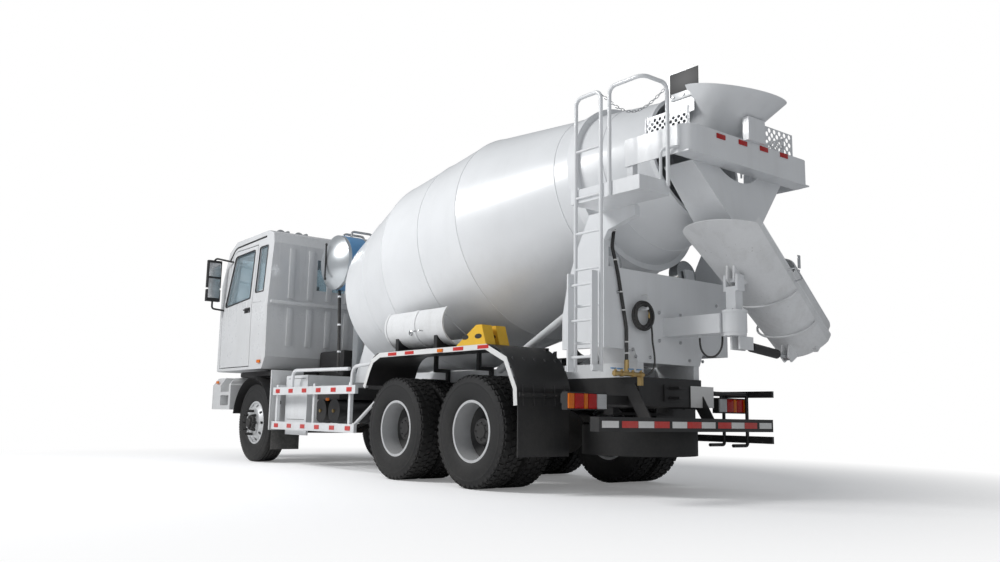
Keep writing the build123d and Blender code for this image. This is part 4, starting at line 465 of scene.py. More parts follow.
def soft_path(corners, radius, steps=5):
    """A bent bar's centre line: straight runs with rounded corners."""
    corners = [Vector(corner) for corner in corners]
    path = [corners[0]]
    for before, corner, after in zip(corners, corners[1:], corners[2:]):
        reach = min(radius, 0.45 * (corner - before).length, 0.45 * (after - corner).length)
        start = corner + (before - corner).normalized() * reach
        end = corner + (after - corner).normalized() * reach
        for step in range(steps + 1):
            t = step / steps
            path.append(start * (1 - t) ** 2 + corner * 2 * t * (1 - t) + end * t ** 2)
    return path + [corners[-1]]


print("a bend of two runs has", len(soft_path([(0, 0, 0), (1, 0, 0), (1, 1, 0)], 0.2)), "points")

# %% [markdown]
# A turned shape comes from (along, radius) points: nuts, caps, straps and tyres are all turned.
# A plate is cut from a flat outline.

# %% Turned shapes and plates
def turned(shape, outline, centre, axis, paint=0, sides=40, hollow=False):
    """A shape turned about an axis from (along, radius) points; a hollow one joins last to first."""
    axis = Vector(axis).normalized()
    side = axis.orthogonal().normalized()
    other = axis.cross(side)
    rings = []
    for along, radius in outline:
        middle_point = Vector(centre) + axis * along
        if radius < 1e-6:
            rings.append([shape.verts.new(middle_point)])
        else:
            rings.append([shape.verts.new(middle_point + radius * (side * cos(2 * pi * k / sides)
                                                                   + other * sin(2 * pi * k / sides)))
                          for k in range(sides)])
    pairs = list(zip(rings, rings[1:])) + ([(rings[-1], rings[0])] if hollow else [])
    for first, second in pairs:
        for k in range(sides):
            after = (k + 1) % sides
            corners = [first[k % len(first)], first[after % len(first)],
                       second[after % len(second)], second[k % len(second)]]
            corners = list(dict.fromkeys(corners))
            if len(corners) > 2:
                shape.faces.new(corners).material_index = paint
    for ring in (rings[0], rings[-1]):
        if len(ring) > 2 and not hollow:
            shape.faces.new(ring).material_index = paint


def plate(shape, outline, thick, origin, across, up, paint=0):
    """A flat plate: outline in (across, up) from an origin, thickness along their cross product."""
    across, up = Vector(across).normalized(), Vector(up).normalized()
    depth = across.cross(up) * thick
    near = [shape.verts.new(Vector(origin) + across * a + up * b) for a, b in outline]
    far = [shape.verts.new(vert.co + depth) for vert in near]
    shape.faces.new(near).material_index = paint
    shape.faces.new(far[::-1]).material_index = paint
    for k in range(len(near)):
        after = (k + 1) % len(near)
        shape.faces.new((near[k], far[k], far[after], near[after])).material_index = paint


probe = bmesh.new()
turned(probe, [(0.0, 1.0), (1.0, 1.0)], (0, 0, 0), (0, 0, 1))
print("a turned drum has", len(probe.faces), "faces")
probe.free()

# %% [markdown]
# `take` moves a ready mesh into a shape. `piece` turns the finished shape into one object, with
# its sharp edges kept and its round ones smooth, and lets it ride on a body.

# %% Finished pieces
def take(shape, mesh, matrix=None, paint=0):
    """Moves a ready mesh into the shape at a place and throws the mesh away."""
    before = set(shape.faces)
    if matrix:
        mesh.transform(matrix)
    shape.from_mesh(mesh)
    bpy.data.meshes.remove(mesh)
    for face in shape.faces:
        if face not in before:
            face.material_index = paint


def stud(radius, height, top_radius, top):
    """Outline of a round or hexagon head with a chamfered top."""
    return [(0.0, radius), (height, radius), (top, top_radius), (top, 0.0)]


def band(half, inner, outer):
    """Outline of a strap round a pipe or tank, for a hollow turned shape."""
    return [(-half, inner), (-half, outer), (half, outer), (half, inner)]


def piece(name, shape, finishes, body, replaces=(), smooth=32):
    """Turns a shape into an object that rides on a body."""
    bmesh.ops.recalc_face_normals(shape, faces=shape.faces)
    mesh = bpy.data.meshes.new(name)
    shape.to_mesh(mesh)
    shape.free()
    for material in finishes:
        mesh.materials.append(material)
    mesh.shade_smooth()
    mesh.set_sharp_from_angle(angle=radians(smooth))
    made = show(bpy.data.objects.new(name, mesh))
    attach(made, body)
    if replaces:
        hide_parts(*replaces)
    return made


SIDES = (("left", 1), ("right", -1))
print("sides", [side for side, sign in SIDES])

# %% [markdown]
# ## Geometry Nodes helpers
# What repeats is made by Geometry Nodes: bolts on a circle, blocks in a row, tread blocks round a
# tyre, holes in a plate. Each tree has named inputs. `grown` runs one on an
# empty object, takes the evaluated result as a plain mesh and throws the object away.

# %% Run a geometry tree
def grown(tree, **values):
    """Evaluates a geometry tree with its named inputs and returns the mesh."""
    holder_mesh = bpy.data.meshes.new("holder")
    holder = show(bpy.data.objects.new("holder", holder_mesh))
    modifier = holder.modifiers.new("grow", "NODES")
    modifier.node_group = tree
    keys = {item.name: item.identifier for item in tree.interface.items_tree if item.in_out == "INPUT"}
    for title, value in values.items():
        modifier[keys[title.replace("_", " ")]] = value
    graph = bpy.context.evaluated_depsgraph_get()
    mesh = bpy.data.meshes.new_from_object(holder.evaluated_get(graph), depsgraph=graph)
    bpy.data.objects.remove(holder)
    bpy.data.meshes.remove(holder_mesh)
    return mesh


def end_tree(tree, geometry, get, give):
    """Realizes the instances, sets the material and ends the tree."""
    real = put(tree, "GeometryNodeRealizeInstances", {0: geometry})
    paint = put(tree, "GeometryNodeSetMaterial", {"Geometry": real.outputs[0], "Material": get["Finish"]})
    wire(tree, paint.outputs[0], give["Mesh"])
    return tree


def set_on_points(tree, points, instance, rotation=None):
    """Instances on points, turned if asked; returns the geometry."""
    values = {"Points": points, "Instance": instance}
    if rotation:
        values["Rotation"] = rotation
    return put(tree, "GeometryNodeInstanceOnPoints", values).outputs[0]


def joined(tree, *parts):
    """Several geometries as one; returns the geometry."""
    join = put(tree, "GeometryNodeJoinGeometry")
    for part in parts:
        wire(tree, part, join.inputs[0])
    return join.outputs[0]


print("geometry helpers", [helper.__name__ for helper in (grown, end_tree, set_on_points, joined)])

# %% [markdown]
# Three trees serve most parts: nuts on a circle, blocks in a row, and blocks round a wheel.

# %% Bolt circle, block row and block wheel
def make_bolt_circle():
    """Hexagon nuts with a stud end, evenly round a circle in the XY plane, standing along +Z."""
    tree, get, give = group_tree(
        "bolt_circle", [("Count", "count", 10), ("Circle", "number", 0.16), ("Width", "number", 0.016),
                        ("Height", "number", 0.018), ("Finish", "finish", None)],
        [("Mesh", "mesh")], "GeometryNodeTree")
    ring = put(tree, "GeometryNodeMeshCircle", {"Vertices": get["Count"], "Radius": get["Circle"]})
    nut = put(tree, "GeometryNodeMeshCone", {
        "Vertices": 6, "Radius Bottom": get["Width"],
        "Radius Top": times(tree, get["Width"], 0.86), "Depth": get["Height"]})
    end = put(tree, "GeometryNodeMeshCone", {
        "Vertices": 10, "Radius Bottom": times(tree, get["Width"], 0.5),
        "Radius Top": times(tree, get["Width"], 0.42),
        "Depth": times(tree, get["Height"], 1.6)})
    nut_and_end = joined(tree, nut.outputs["Mesh"], end.outputs["Mesh"])
    return end_tree(tree, set_on_points(tree, ring.outputs[0], nut_and_end), get, give)


def make_block_row():
    """Equal blocks in a straight row."""
    tree, get, give = group_tree(
        "block_row", [("Count", "count", 6), ("Start", "vector", None), ("Step", "vector", None),
                      ("Size", "vector", None), ("Finish", "finish", None)],
        [("Mesh", "mesh")], "GeometryNodeTree")
    line = put(tree, "GeometryNodeMeshLine", {"Count": get["Count"], "Start Location": get["Start"],
                                              "Offset": get["Step"]}, mode="OFFSET")
    cube = put(tree, "GeometryNodeMeshCube", {"Size": get["Size"]})
    return end_tree(tree, set_on_points(tree, line.outputs[0], cube.outputs["Mesh"]), get, give)


def make_block_wheel():
    """Blocks round a circle in the XZ plane, each standing radially and turned by a slant."""
    tree, get, give = group_tree(
        "block_wheel", [("Count", "count", 48), ("Circle", "number", 0.53), ("Across", "number", 0.0),
                        ("Size", "vector", None), ("Slant", "number", 0.0), ("Phase", "number", 0.0),
                        ("Finish", "finish", None)],
        [("Mesh", "mesh")], "GeometryNodeTree")
    points = put(tree, "GeometryNodeMeshLine", {"Count": get["Count"]}, mode="OFFSET")
    index = maths(tree, "ADD", put(tree, "GeometryNodeInputIndex").outputs[0], get["Phase"])
    turn = times(tree, maths(tree, "DIVIDE", index, get["Count"]), 2 * pi)
    where = put(tree, "ShaderNodeCombineXYZ", {
        0: times(tree, maths(tree, "COSINE", turn), get["Circle"]), 1: get["Across"],
        2: times(tree, maths(tree, "SINE", turn), get["Circle"])})
    moved = put(tree, "GeometryNodeSetPosition", {"Geometry": points.outputs[0],
                                                  "Position": where.outputs[0]})
    cube = put(tree, "GeometryNodeMeshCube", {"Size": get["Size"]})
    tilt = put(tree, "ShaderNodeCombineXYZ", {0: get["Slant"]})
    slanted = put(tree, "GeometryNodeTransform", {"Geometry": cube.outputs["Mesh"],
                                                  "Rotation": tilt.outputs[0]})
    around = put(tree, "ShaderNodeCombineXYZ", {1: times(tree, turn, -1.0)})
    blocks = set_on_points(tree, moved.outputs[0], slanted.outputs[0], around.outputs[0])
    return end_tree(tree, blocks, get, give)


BOLT_CIRCLE = make_bolt_circle()
BLOCK_ROW = make_block_row()
BLOCK_WHEEL = make_block_wheel()
print("geometry trees", BOLT_CIRCLE.name, BLOCK_ROW.name, BLOCK_WHEEL.name)

# %% [markdown]
# ## Hoses
# Two free hoses hang at the back. The wash hose rises from its valve, is wound five times and
# hung on a peg, and ends in a brass nozzle. The lift cylinder's feed hangs in a loop under the
# arm. Each is one NURBS spline: a soft line that passes near its control points, as rubber does.

# %% Hose helper
def hose(name, points, radius, material, body, nodes_replaced):
    """A hose on one smooth open spline."""
    data = bpy.data.curves.new(name, "CURVE")
    data.dimensions = "3D"
    data.bevel_depth = radius
    data.bevel_resolution = 5
    data.resolution_u = 6
    data.use_fill_caps = True
    spline = data.splines.new("NURBS")
    spline.points.add(len(points) - 1)
    for point, place in zip(spline.points, points):
        point.co = (*place, 1)
    spline.order_u = 3
    spline.use_endpoint_u = True
    data.materials.append(material)
    made = show(bpy.data.objects.new(name, data))
    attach(made, body)
    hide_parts(*nodes_replaced)
    return made


HOSE_R = 0.009
print("hoses", round(2000 * HOSE_R), "mm thick")

# %% [markdown]
# The coil is drawn as turns that step round a small hexagon, so that neighbours lie side by side
# one hose apart and the bundle looks wound by hand. Fifteen points make one turn.

# %% Wash hose and cylinder hose
COIL_X = at(-1.482)
COIL_Y, COIL_Z, COIL_R = 0.420, 1.605, 0.114
MANIFOLD_Z = 1.075
TAIL = [(0.425, MANIFOLD_Z), (0.377, MANIFOLD_Z), (0.3251, 1.096), (0.2897, 1.1314),
        (0.2695, 1.1815), (0.2706, 1.2435), (0.282, 1.312), (0.300, 1.385), (0.300, 1.455)]
TURNS = 5
TURN_POINTS = 15
BUNDLE_R = 0.0215


def coil_place(step):
    """A point of the coil: whole turns step round a hexagon inside the bundle."""
    turn = step / TURN_POINTS
    corner = int(turn)
    part = turn - corner
    spots = [(BUNDLE_R * cos(pi / 3 * (corner + more)), BUNDLE_R * sin(pi / 3 * (corner + more)))
             for more in (0, 1)]
    aside = spots[0][0] * (1 - part) + spots[1][0] * part
    outward = spots[0][1] * (1 - part) + spots[1][1] * part
    angle = pi - 2 * pi * turn
    reach = COIL_R + outward
    return (COIL_X + aside, COIL_Y + reach * cos(angle), COIL_Z + reach * sin(angle))


coil_points = [coil_place(step) for step in range(TURN_POINTS * TURNS + 1)]
wash_points = [(COIL_X, y, z) for y, z in TAIL]
wash_points.append((COIL_X + 0.4 * BUNDLE_R, 0.302, 1.53))
wash_points += coil_points
wash_hose = hose("wash_hose", wash_points, HOSE_R, hose_rubber, "chassis",
                 ["wash_hose_coil", "wash_hose_tail"])

LOOP = [(-1.747, 1.420), (-1.747, 1.352), (-1.776, 1.286), (-1.834, 1.243), (-1.910, 1.243),
        (-1.968, 1.286), (-1.997, 1.352), (-1.997, 1.420)]
cylinder_hose = hose("cylinder_hose", [(at(station), -0.040, z) for station, z in LOOP],
                     HOSE_R, hose_rubber, "chassis", ["chute_hose"])


nozzle_shape = bmesh.new()
turned(nozzle_shape, [(-0.020, 0.0115), (0.004, 0.0125), (0.006, 0.0145), (0.018, 0.0145), (0.020, 0.0105),
                      (0.046, 0.0085), (0.052, 0.0105), (0.060, 0.0105), (0.062, 0.006), (0.045, 0.004)],
       coil_points[-1], (0, 0, 1), 0, 20)
nozzle = piece("wash_nozzle", nozzle_shape, [brass], "chassis")
run = sum((Vector(b) - Vector(a)).length for a, b in zip(wash_points, wash_points[1:]))
print("wash hose points", len(wash_points), "run", round(run, 2), "m")

# %% [markdown]
# ## Tyres
# The front tyres have straight ribs for steering, the driven ones heavy blocks for grip on a
# site. The carcass is turned from its section; the grooves of a ribbed tread are part of that
# section, and the blocks are set round it by the `block_wheel` tree, with lugs down the shoulder.

# %% Tyre pieces
SIDEWALL = [(-0.106, 0.2835), (-0.116, 0.300), (-0.131, 0.318), (-0.134, 0.324), (-0.143, 0.348),
            (-0.149, 0.378), (-0.151, 0.405), (-0.1485, 0.440), (-0.1445, 0.462), (-0.1465, 0.466),
            (-0.1435, 0.472), (-0.139, 0.495), (-0.135, 0.510)]
CROWN_R = TYRE_R - 0.0125


def tyre_section(ribbed):
    """Half widths and radii of a tyre from one bead over the tread to the other."""
    if ribbed:
        tread = [(-0.129, 0.528), (-0.118, 0.5385)]
        for groove in (-0.072, -0.026, 0.026, 0.072):
            tread += [(groove - 0.007, 0.5415), (groove - 0.0045, 0.528), (groove + 0.0045, 0.528),
                      (groove + 0.007, 0.5415)]
        tread += [(0.118, 0.5385), (0.129, 0.528)]
    else:
        tread = [(-0.126, 0.5235), (-0.100, CROWN_R - 0.002), (0.0, CROWN_R), (0.100, CROWN_R - 0.002),
                 (0.126, 0.5235)]
    return SIDEWALL + tread + [(-across, radius) for across, radius in reversed(SIDEWALL)]


# rows of blocks: across, width, length, slant, phase
DRIVE_ROWS = [(-0.098, 0.046, 0.052, 0.10, 0.0), (-0.040, 0.050, 0.050, -0.28, 0.5),
              (0.017, 0.050, 0.050, 0.28, 0.15), (0.098, 0.046, 0.052, -0.10, 0.5)]
DRIVE_COUNT, RIB_COUNT, BLOCK_HEIGHT = 46, 90, 0.016


def add_tyre(shape, x, y, ribbed):
    """One tyre with its tread at a wheel's place."""
    place = (x, y, WHEEL_Z)
    turned(shape, tyre_section(ribbed), place, (0, 1, 0), 0, 88, True)
    if ribbed:
        rows = [(RIB_COUNT, 0.5285, side * 0.122, (BLOCK_HEIGHT, 0.012, 0.024), 0.0, 0.0)
                for side in (-1, 1)]
    else:
        rows = [(DRIVE_COUNT, TYRE_R - 0.0095, across, (BLOCK_HEIGHT, width, length), slant, phase)
                for across, width, length, slant, phase in DRIVE_ROWS]
        rows += [(DRIVE_COUNT, 0.505, side * 0.1315, (0.044, 0.012, 0.034), 0.0, 0.25 + 0.25 * side)
                 for side in (-1, 1)]
    for count, circle, across, size, slant, phase in rows:
        blocks = grown(BLOCK_WHEEL, Count=count, Circle=circle, Across=across, Size=size, Slant=slant,
                       Phase=phase, Finish=rubber)
        take(shape, blocks, Matrix.Translation(place))


def tyre_piece(name, node, places, ribbed, body):
    """Replaces a CAD tyre node by treaded tyres at (x, y)."""
    shape = bmesh.new()
    for x, y in places:
        add_tyre(shape, x, y, ribbed)
    return piece(name, shape, [rubber], body, [node], smooth=38)


FRONT_X = middle("front_rim_left").x
MID_X = middle("mid_rims_left").x
FRONT_Y, TWIN_Y, TWIN_HALF = 1.025, 0.930, 0.170
for side, sign in SIDES:
    tyre_piece(f"ribbed_tyre_{side}", f"front_tyre_{side}", [(FRONT_X, sign * FRONT_Y)], True,
               f"front_wheel_{side}")
    for place, x in (("mid", MID_X), ("rear", REAR_AXLE_X)):
        tyre_piece(f"{place}_drive_tyres_{side}", f"{place}_tyres_{side}",
                   [(x, sign * (TWIN_Y + TWIN_HALF)), (x, sign * (TWIN_Y - TWIN_HALF))], False,
                   f"{place}_wheels_{side}")
print("tyres", 6, "crown radius", round(CROWN_R, 4))

# %% [markdown]
# ## Wheel centres
# Each hub gets its cap and its ring of nuts. In front the nuts wear black caps on a silver disc;
# behind, the whole centre is black and sits deep in the silver barrel.

# %% Hubs and nuts
def face_matrix(x, y, sign):
    """Turns a shape that stands along +Z to stand outward from a wheel face."""
    return Matrix.Translation((x, y, WHEEL_Z)) @ Matrix.Rotation(-sign * pi / 2, 4, "X")


def add_hub(shape, x, face, sign, cap):
    """A hub's stepped cap, its bolting ring and ten nuts."""
    turned(shape, [(sign * along, radius) for along, radius in cap], (x, face, WHEEL_Z), (0, 1, 0), 0, 40)
    nuts = grown(BOLT_CIRCLE, Count=10, Circle=0.1675, Width=0.0225, Height=0.042, Finish=matt_black)
    take(shape, nuts, face_matrix(x, face + sign * 0.020, sign))
    ring = grown(BOLT_CIRCLE, Count=8, Circle=0.083, Width=0.008, Height=0.008, Finish=matt_black)
    shoulder = max(along for along, radius in cap if radius > 0.08)
    take(shape, ring, face_matrix(x, face + sign * (shoulder + 0.003), sign))


FRONT_CAP = [(-0.004, 0.1), (0.006, 0.112), (0.040, 0.106), (0.046, 0.098), (0.046, 0.072), (0.070, 0.066),
             (0.080, 0.055), (0.084, 0.0)]
REAR_CAP = [(0.012, 0.139), (0.02, 0.139), (0.03, 0.128), (0.150, 0.1235), (0.158, 0.114), (0.160, 0.07),
            (0.170, 0.064), (0.173, 0.0)]
REAR_DISH = [(0.0145, 0.139), (0.018, 0.139), (0.018, 0.203), (0.0865, 0.2725), (0.0845, 0.2735),
             (0.0145, 0.206)]
for side, sign in SIDES:
    shape = bmesh.new()
    add_hub(shape, FRONT_X, sign * (FRONT_Y + 0.150), sign, FRONT_CAP)
    piece(f"front_hub_{side}", shape, [matt_black], f"front_wheel_{side}")
    for place, x in (("mid", MID_X), ("rear", REAR_AXLE_X)):
        shape = bmesh.new()
        add_hub(shape, x, sign * TWIN_Y, sign, REAR_CAP)
        turned(shape, [(sign * along, radius) for along, radius in REAR_DISH],
               (x, sign * TWIN_Y, WHEEL_Z), (0, 1, 0), 0, 48, True)
        piece(f"{place}_hub_{side}", shape, [matt_black], f"{place}_wheels_{side}")
print("hubs", 6)

# %% [markdown]
# ## Lamps, tape and reflectors
# Tail lamps are a row of coloured lenses with small gaps. The underrun bar wears red and white
# reflecting tape, the side guards rows of red blocks, and the crossbar four red reflectors.

# %% Tail, head and marker lamps
red_tape = finish("red_tape", (0.55, 0.02, 0.016), 0.34, SPLASH, foot=0.2, head=1.4, amount=0.35,
                  streaks=0.05, grain=300.0, bump=0.03)
white_tape = finish("white_tape", (0.72, 0.72, 0.71), 0.36, SPLASH, foot=0.2, head=1.4, amount=0.4,
                    streaks=0.05, grain=300.0, bump=0.03)
LAMP_SEGMENTS = [(1.238, 1.172, 2), (1.166, 1.062, 1), (1.056, 1.012, 2), (1.006, 0.906, 1),
                 (0.900, 0.786, 0)]
for side, sign in SIDES:
    shape = bmesh.new()
    for outer, inner, paint in LAMP_SEGMENTS:
        block(shape, (at(-1.386), sign * outer, 0.766), (at(-1.366), sign * inner, 0.894), paint, 0.007)
        for row in range(3):
            z = 0.800 + 0.030 * row
            block(shape, (at(-1.3885), sign * (outer - 0.010), z - 0.0015),
                  (at(-1.3850), sign * (inner + 0.010), z + 0.0015), paint, 0.001)
    piece(f"tail_lenses_{side}", shape, [clear_lens, red_lens, orange_lens], "chassis")
    shape = bmesh.new()
    block(shape, (at(-1.379), sign * 1.2455, 0.757), (at(-1.3655), sign * 0.779, 0.7665), 0, 0.003)
    block(shape, (at(-1.379), sign * 1.2455, 0.8945), (at(-1.3655), sign * 0.779, 0.904), 0, 0.003)
    for y in (1.215, 1.01, 0.81):
        turned(shape, stud(0.010, 0.006, 0.005, 0.010),
               (at(-1.300), sign * y, 0.83), (1, 0, 0), 0, 12)
    piece(f"tail_lamp_frame_{side}", shape, [matt_black], "chassis")
    shape = bmesh.new()
    for y in (0.725, 0.860):
        turned(shape, [(0.0, 0.062), (0.006, 0.060), (0.0075, 0.050), (0.0045, 0.030), (0.0075, 0.0)],
               (at(6.768), sign * y, 0.91), (1, 0, 0), 0, 36)
    block(shape, (at(6.768), sign * 0.960, 0.835), (at(6.777), sign * 0.927, 0.985), 2, 0.005)
    piece(f"head_lenses_{side}", shape, [clear_lens, red_lens, orange_lens], "chassis")

# %% [markdown]
# The tape runs in groups: one white, then red, white, red, then white, red, white, and so on.

# %% Reflecting tape and blocks
shape = bmesh.new()
cursor = 1.165
for letter in "W RWR WRW RWR W":
    if letter == " ":
        cursor -= 0.035
        continue
    block(shape, (at(-1.7022), cursor, 0.612), (at(-1.6995), cursor - 0.196, 0.668),
          1 if letter == "R" else 0, 0.0008)
    cursor -= 0.200
piece("underrun_tape", shape, [white_tape, red_tape], "chassis")

shape = bmesh.new()
for y, z in ((0.459, 3.046), (0.155, 3.055), (-0.150, 3.062), (-0.455, 3.066)):
    block(shape, (at(-2.4085), y - 0.058, z - 0.021), (at(-2.3985), y + 0.058, z + 0.021), 0, 0.004)
piece("crossbar_reflectors", shape, [red_lens], "chassis")

shape = bmesh.new()
for sign in (1, -1):
    for z in (0.97, 0.52):
        take(shape, grown(BLOCK_ROW, Count=6, Start=(at(2.36), sign * 1.2375, z), Step=(0.386, 0.0, 0.0),
                          Size=(0.118, 0.006, 0.050), Finish=red_tape))
piece("side_guard_marks", shape, [red_tape], "chassis")
print("tape ends at y", round(cursor, 3))

# %% [markdown]
# ## Mudguard trim
# A white band edges each rear mudguard, with red marks on it and an orange lamp near the front.
# Ribs stiffen the curved rear wall, and a plain clamp bar is added for the rubber flap that hangs below it.

# %% Mudguard bands, ribs and flap clamps
GUARD_EDGE = [(2.02, 1.00), (1.93, 1.18), (1.85, 1.30), (1.68, 1.365), (-0.25, 1.365), (-0.56, 1.23),
              (-0.71, 0.95), (-0.722, 0.79)]
BAND = 0.052


def inset(points, width):
    """The same line moved to its inner side, mitred at its corners."""
    runs = [(Vector(b) - Vector(a)).normalized() for a, b in zip(points, points[1:])]
    result = []
    for index, point in enumerate(points):
        normals = [Vector((run.y, -run.x)) for run in runs[max(index - 1, 0):index + 1]]
        middle_line = sum(normals, Vector((0, 0))).normalized()
        result.append(Vector(point) - middle_line * width / max(0.4, middle_line.dot(normals[0])))
    return result


inner_edge = inset(GUARD_EDGE, BAND)
for side, sign in SIDES:
    shape = bmesh.new()
    for k in range(len(GUARD_EDGE) - 1):
        quad = [GUARD_EDGE[k], GUARD_EDGE[k + 1], inner_edge[k + 1], inner_edge[k]]
        plate(shape, quad, -0.003, (at(0), 1.2455 if sign > 0 else -1.2485, 0), (1, 0, 0), (0, 0, 1), 0)
    for x in (1.50, 1.16, 0.28, -0.12):
        block(shape, (at(x), sign * 1.2480, 1.322), (at(x - 0.17), sign * 1.2510, 1.356), 1, 0.001)
    block(shape, (at(0.545), sign * 1.247, 1.318), (at(0.455), sign * 1.262, 1.352), 2, 0.006)
    piece(f"mudguard_band_{side}", shape, [white_tape, red_tape, orange_lens], "chassis")
    shape = bmesh.new()
    wall = [(-0.56, 1.23), (-0.635, 1.09), (-0.71, 0.95), (-0.722, 0.79)]
    for y in (0.66, 0.79, 0.92, 1.05, 1.18):
        path = [(at(x) - 0.003, sign * y, z) for x, z in wall]
        tube(shape, soft_path(path, 0.05), 0.009, 0, 8)
    block(shape, (at(-0.742), sign * 0.62, 0.865), (at(-0.724), sign * 1.235, 0.905), 0, 0.004)
    for y in (0.66, 0.80, 0.94, 1.08, 1.20):
        turned(shape, stud(0.011, 0.006, 0.006, 0.010),
               (at(-0.742), sign * y, 0.885), (-1, 0, 0), 1, 6)
    piece(f"mudguard_ribs_{side}", shape, [black, cast], "chassis")
print("mudguard band inner line starts", [round(v, 3) for v in inner_edge[0]])

# %% [markdown]
# ## Guards at the drum mouth
# Perforated plates stop hands from reaching the turning drum. Geometry Nodes lays the holes on a
# staggered grid inside an outline, fills round them and gives the sheet its thickness.

# %% Perforated guards and rubber flap
def make_perforated():
    """A flat sheet in XY with staggered round holes, thickened along Z."""
    tree, get, give = group_tree(
        "perforated", [("Width", "number", 0.6), ("Height", "number", 0.25), ("Columns", "count", 9),
                       ("Rows", "count", 2), ("Pitch", "number", 0.06), ("Hole", "number", 0.019),
                       ("Thick", "number", 0.004), ("Finish", "finish", None)],
        [("Mesh", "mesh")], "GeometryNodeTree")
    edge = put(tree, "GeometryNodeCurvePrimitiveQuadrilateral", {"Width": get["Width"],
                                                                 "Height": get["Height"]})
    hole = put(tree, "GeometryNodeCurvePrimitiveCircle", {"Resolution": 14, "Radius": get["Hole"]})
    spans = [times(tree, maths(tree, "SUBTRACT", get[title], 1.0), get["Pitch"])
             for title in ("Columns", "Rows")]
    parts = [edge.outputs[0]]
    for shift in (-0.25, 0.25):
        grid = put(tree, "GeometryNodeMeshGrid", {"Size X": spans[0], "Size Y": spans[1],
                                                  "Vertices X": get["Columns"], "Vertices Y": get["Rows"]})
        offset = times(tree, get["Pitch"], shift)
        step = put(tree, "ShaderNodeCombineXYZ", {0: offset, 1: offset})
        moved = put(tree, "GeometryNodeSetPosition", {"Geometry": grid.outputs[0],
                                                      "Offset": step.outputs[0]})
        holes = set_on_points(tree, moved.outputs[0], hole.outputs[0])
        parts.append(put(tree, "GeometryNodeRealizeInstances", {0: holes}).outputs[0])
    sheet = put(tree, "GeometryNodeFillCurve", {0: joined(tree, *parts)}, mode="NGONS").outputs[0]
    thick = put(tree, "GeometryNodeExtrudeMesh", {"Mesh": sheet, "Offset Scale": get["Thick"],
                                                  "Individual": False})
    back = put(tree, "GeometryNodeFlipFaces", {0: sheet})
    merged = put(tree, "GeometryNodeMergeByDistance", {
        0: joined(tree, thick.outputs[0], back.outputs[0]), "Distance": 0.0001})
    return end_tree(tree, merged.outputs[0], get, give)


PERFORATED = make_perforated()


def guard_plate(shape, centre, across, up, width, height, columns, rows, pitch, hole):
    """Puts a perforated plate at a centre, across and up."""
    sheet = grown(PERFORATED, Width=width, Height=height, Columns=columns, Rows=rows, Pitch=pitch,
                  Hole=hole, Thick=0.004, Finish=white)
    across, up = Vector(across).normalized(), Vector(up).normalized()
    turn = Matrix((across, up, across.cross(up))).transposed().to_4x4()
    take(shape, sheet, Matrix.Translation(centre) @ turn)


shape = bmesh.new()
guard_plate(shape, (at(-1.955), 0.620, 3.225), (-1, 0, 0), (0, 0, 1), 0.50, 0.235, 8, 3, 0.060, 0.0165)
guard_plate(shape, (at(-2.300), -0.525, 3.215), (0, -1, 0), (0, 0, 1), 0.45, 0.255, 5, 3, 0.078, 0.0225)
guard_plate(shape, (at(-1.955), -0.760, 3.225), (1, 0, 0), (0, 0, 1), 0.50, 0.235, 8, 3, 0.060, 0.0165)
for y in (0.620, -0.760):
    for x in (-1.72, -2.19):
        tube(shape, [(at(x), y, 3.05), (at(x), y, 3.34)], 0.010, 0, 10)
piece("mouth_guards", shape, [white], "chassis")

shape = bmesh.new()
block(shape, (at(-2.135), 0.402, 3.560), (at(-1.815), 0.408, 3.775), 1, 0.002)
block(shape, (at(-2.120), 0.402, 3.520), (at(-1.830), 0.412, 3.585), 0, 0.003)
for x in (-2.09, -1.975, -1.86):
    turned(shape, stud(0.012, 0.007, 0.006, 0.011),
           (at(x), 0.412, 3.552), (0, 1, 0), 2, 6)
piece("splash_flap", shape, [white, hose_rubber, steel], "chassis")

shape = bmesh.new()
tube(shape, soft_path([(at(-2.16), 0.945, 2.505), (at(-2.16), 0.945, 2.895),
                       (at(-2.30), 0.880, 2.900)], 0.06), 0.013, 0, 12)
piece("deck_grab_rail", shape, [white], "chassis")

# %% [markdown]
# ## Water tank, chocks and stowed trough
# The tank wears two straps, a sight gauge and a blue band at its drum side. The wheel chocks get
# their oval holes as dark insets of painted shade, the stowed trough its end bands, handle and latch.

# %% Tank straps, gauge and pipe
blue = finish("tank_blue", (0.10, 0.27, 0.50), 0.34, (0.35, 0.36, 0.37, 1), foot=1.6, head=3.0, amount=0.25,
              streaks=0.08, grain=120.0, bump=0.03)
TANK = Vector((at(3.70), 0.0, 2.70))
shape = bmesh.new()
for y in (-0.62, 0.10):
    turned(shape, band(0.025, 0.3705, 0.3765),
           TANK + Vector((0, y, 0)), (0, 1, 0), 0, 64, True)
turned(shape, band(0.13, 0.3695, 0.3725),
       TANK + Vector((0, 0.600, 0)), (0, 1, 0), 1, 64, True)
for x in (-0.12, 0.10):
    tube(shape, soft_path([(TANK.x + x, 0.30, TANK.z + 0.30), (TANK.x + x, 0.30, TANK.z + 0.43),
                           (TANK.x + x, 0.62, TANK.z + 0.43), (TANK.x + x, 0.62, TANK.z + 0.30)], 0.05),
         0.016, 2, 10)
block(shape, (TANK.x - 0.035, 0.931, TANK.z - 0.26), (TANK.x - 0.015, 0.948, TANK.z + 0.24), 3, 0.004)
for z in (-0.24, 0.22):
    turned(shape, stud(0.020, 0.014, 0.012, 0.020),
           (TANK.x - 0.025, 0.930, TANK.z + z), (0, 1, 0), 3, 16)
tube(shape, soft_path([(at(3.70), 0.70, 2.34), (at(3.67), 0.70, 1.95), (at(3.64), 0.70, 1.49),
                       (at(3.64), 0.70, 1.22)], 0.1), 0.022, 4, 12)
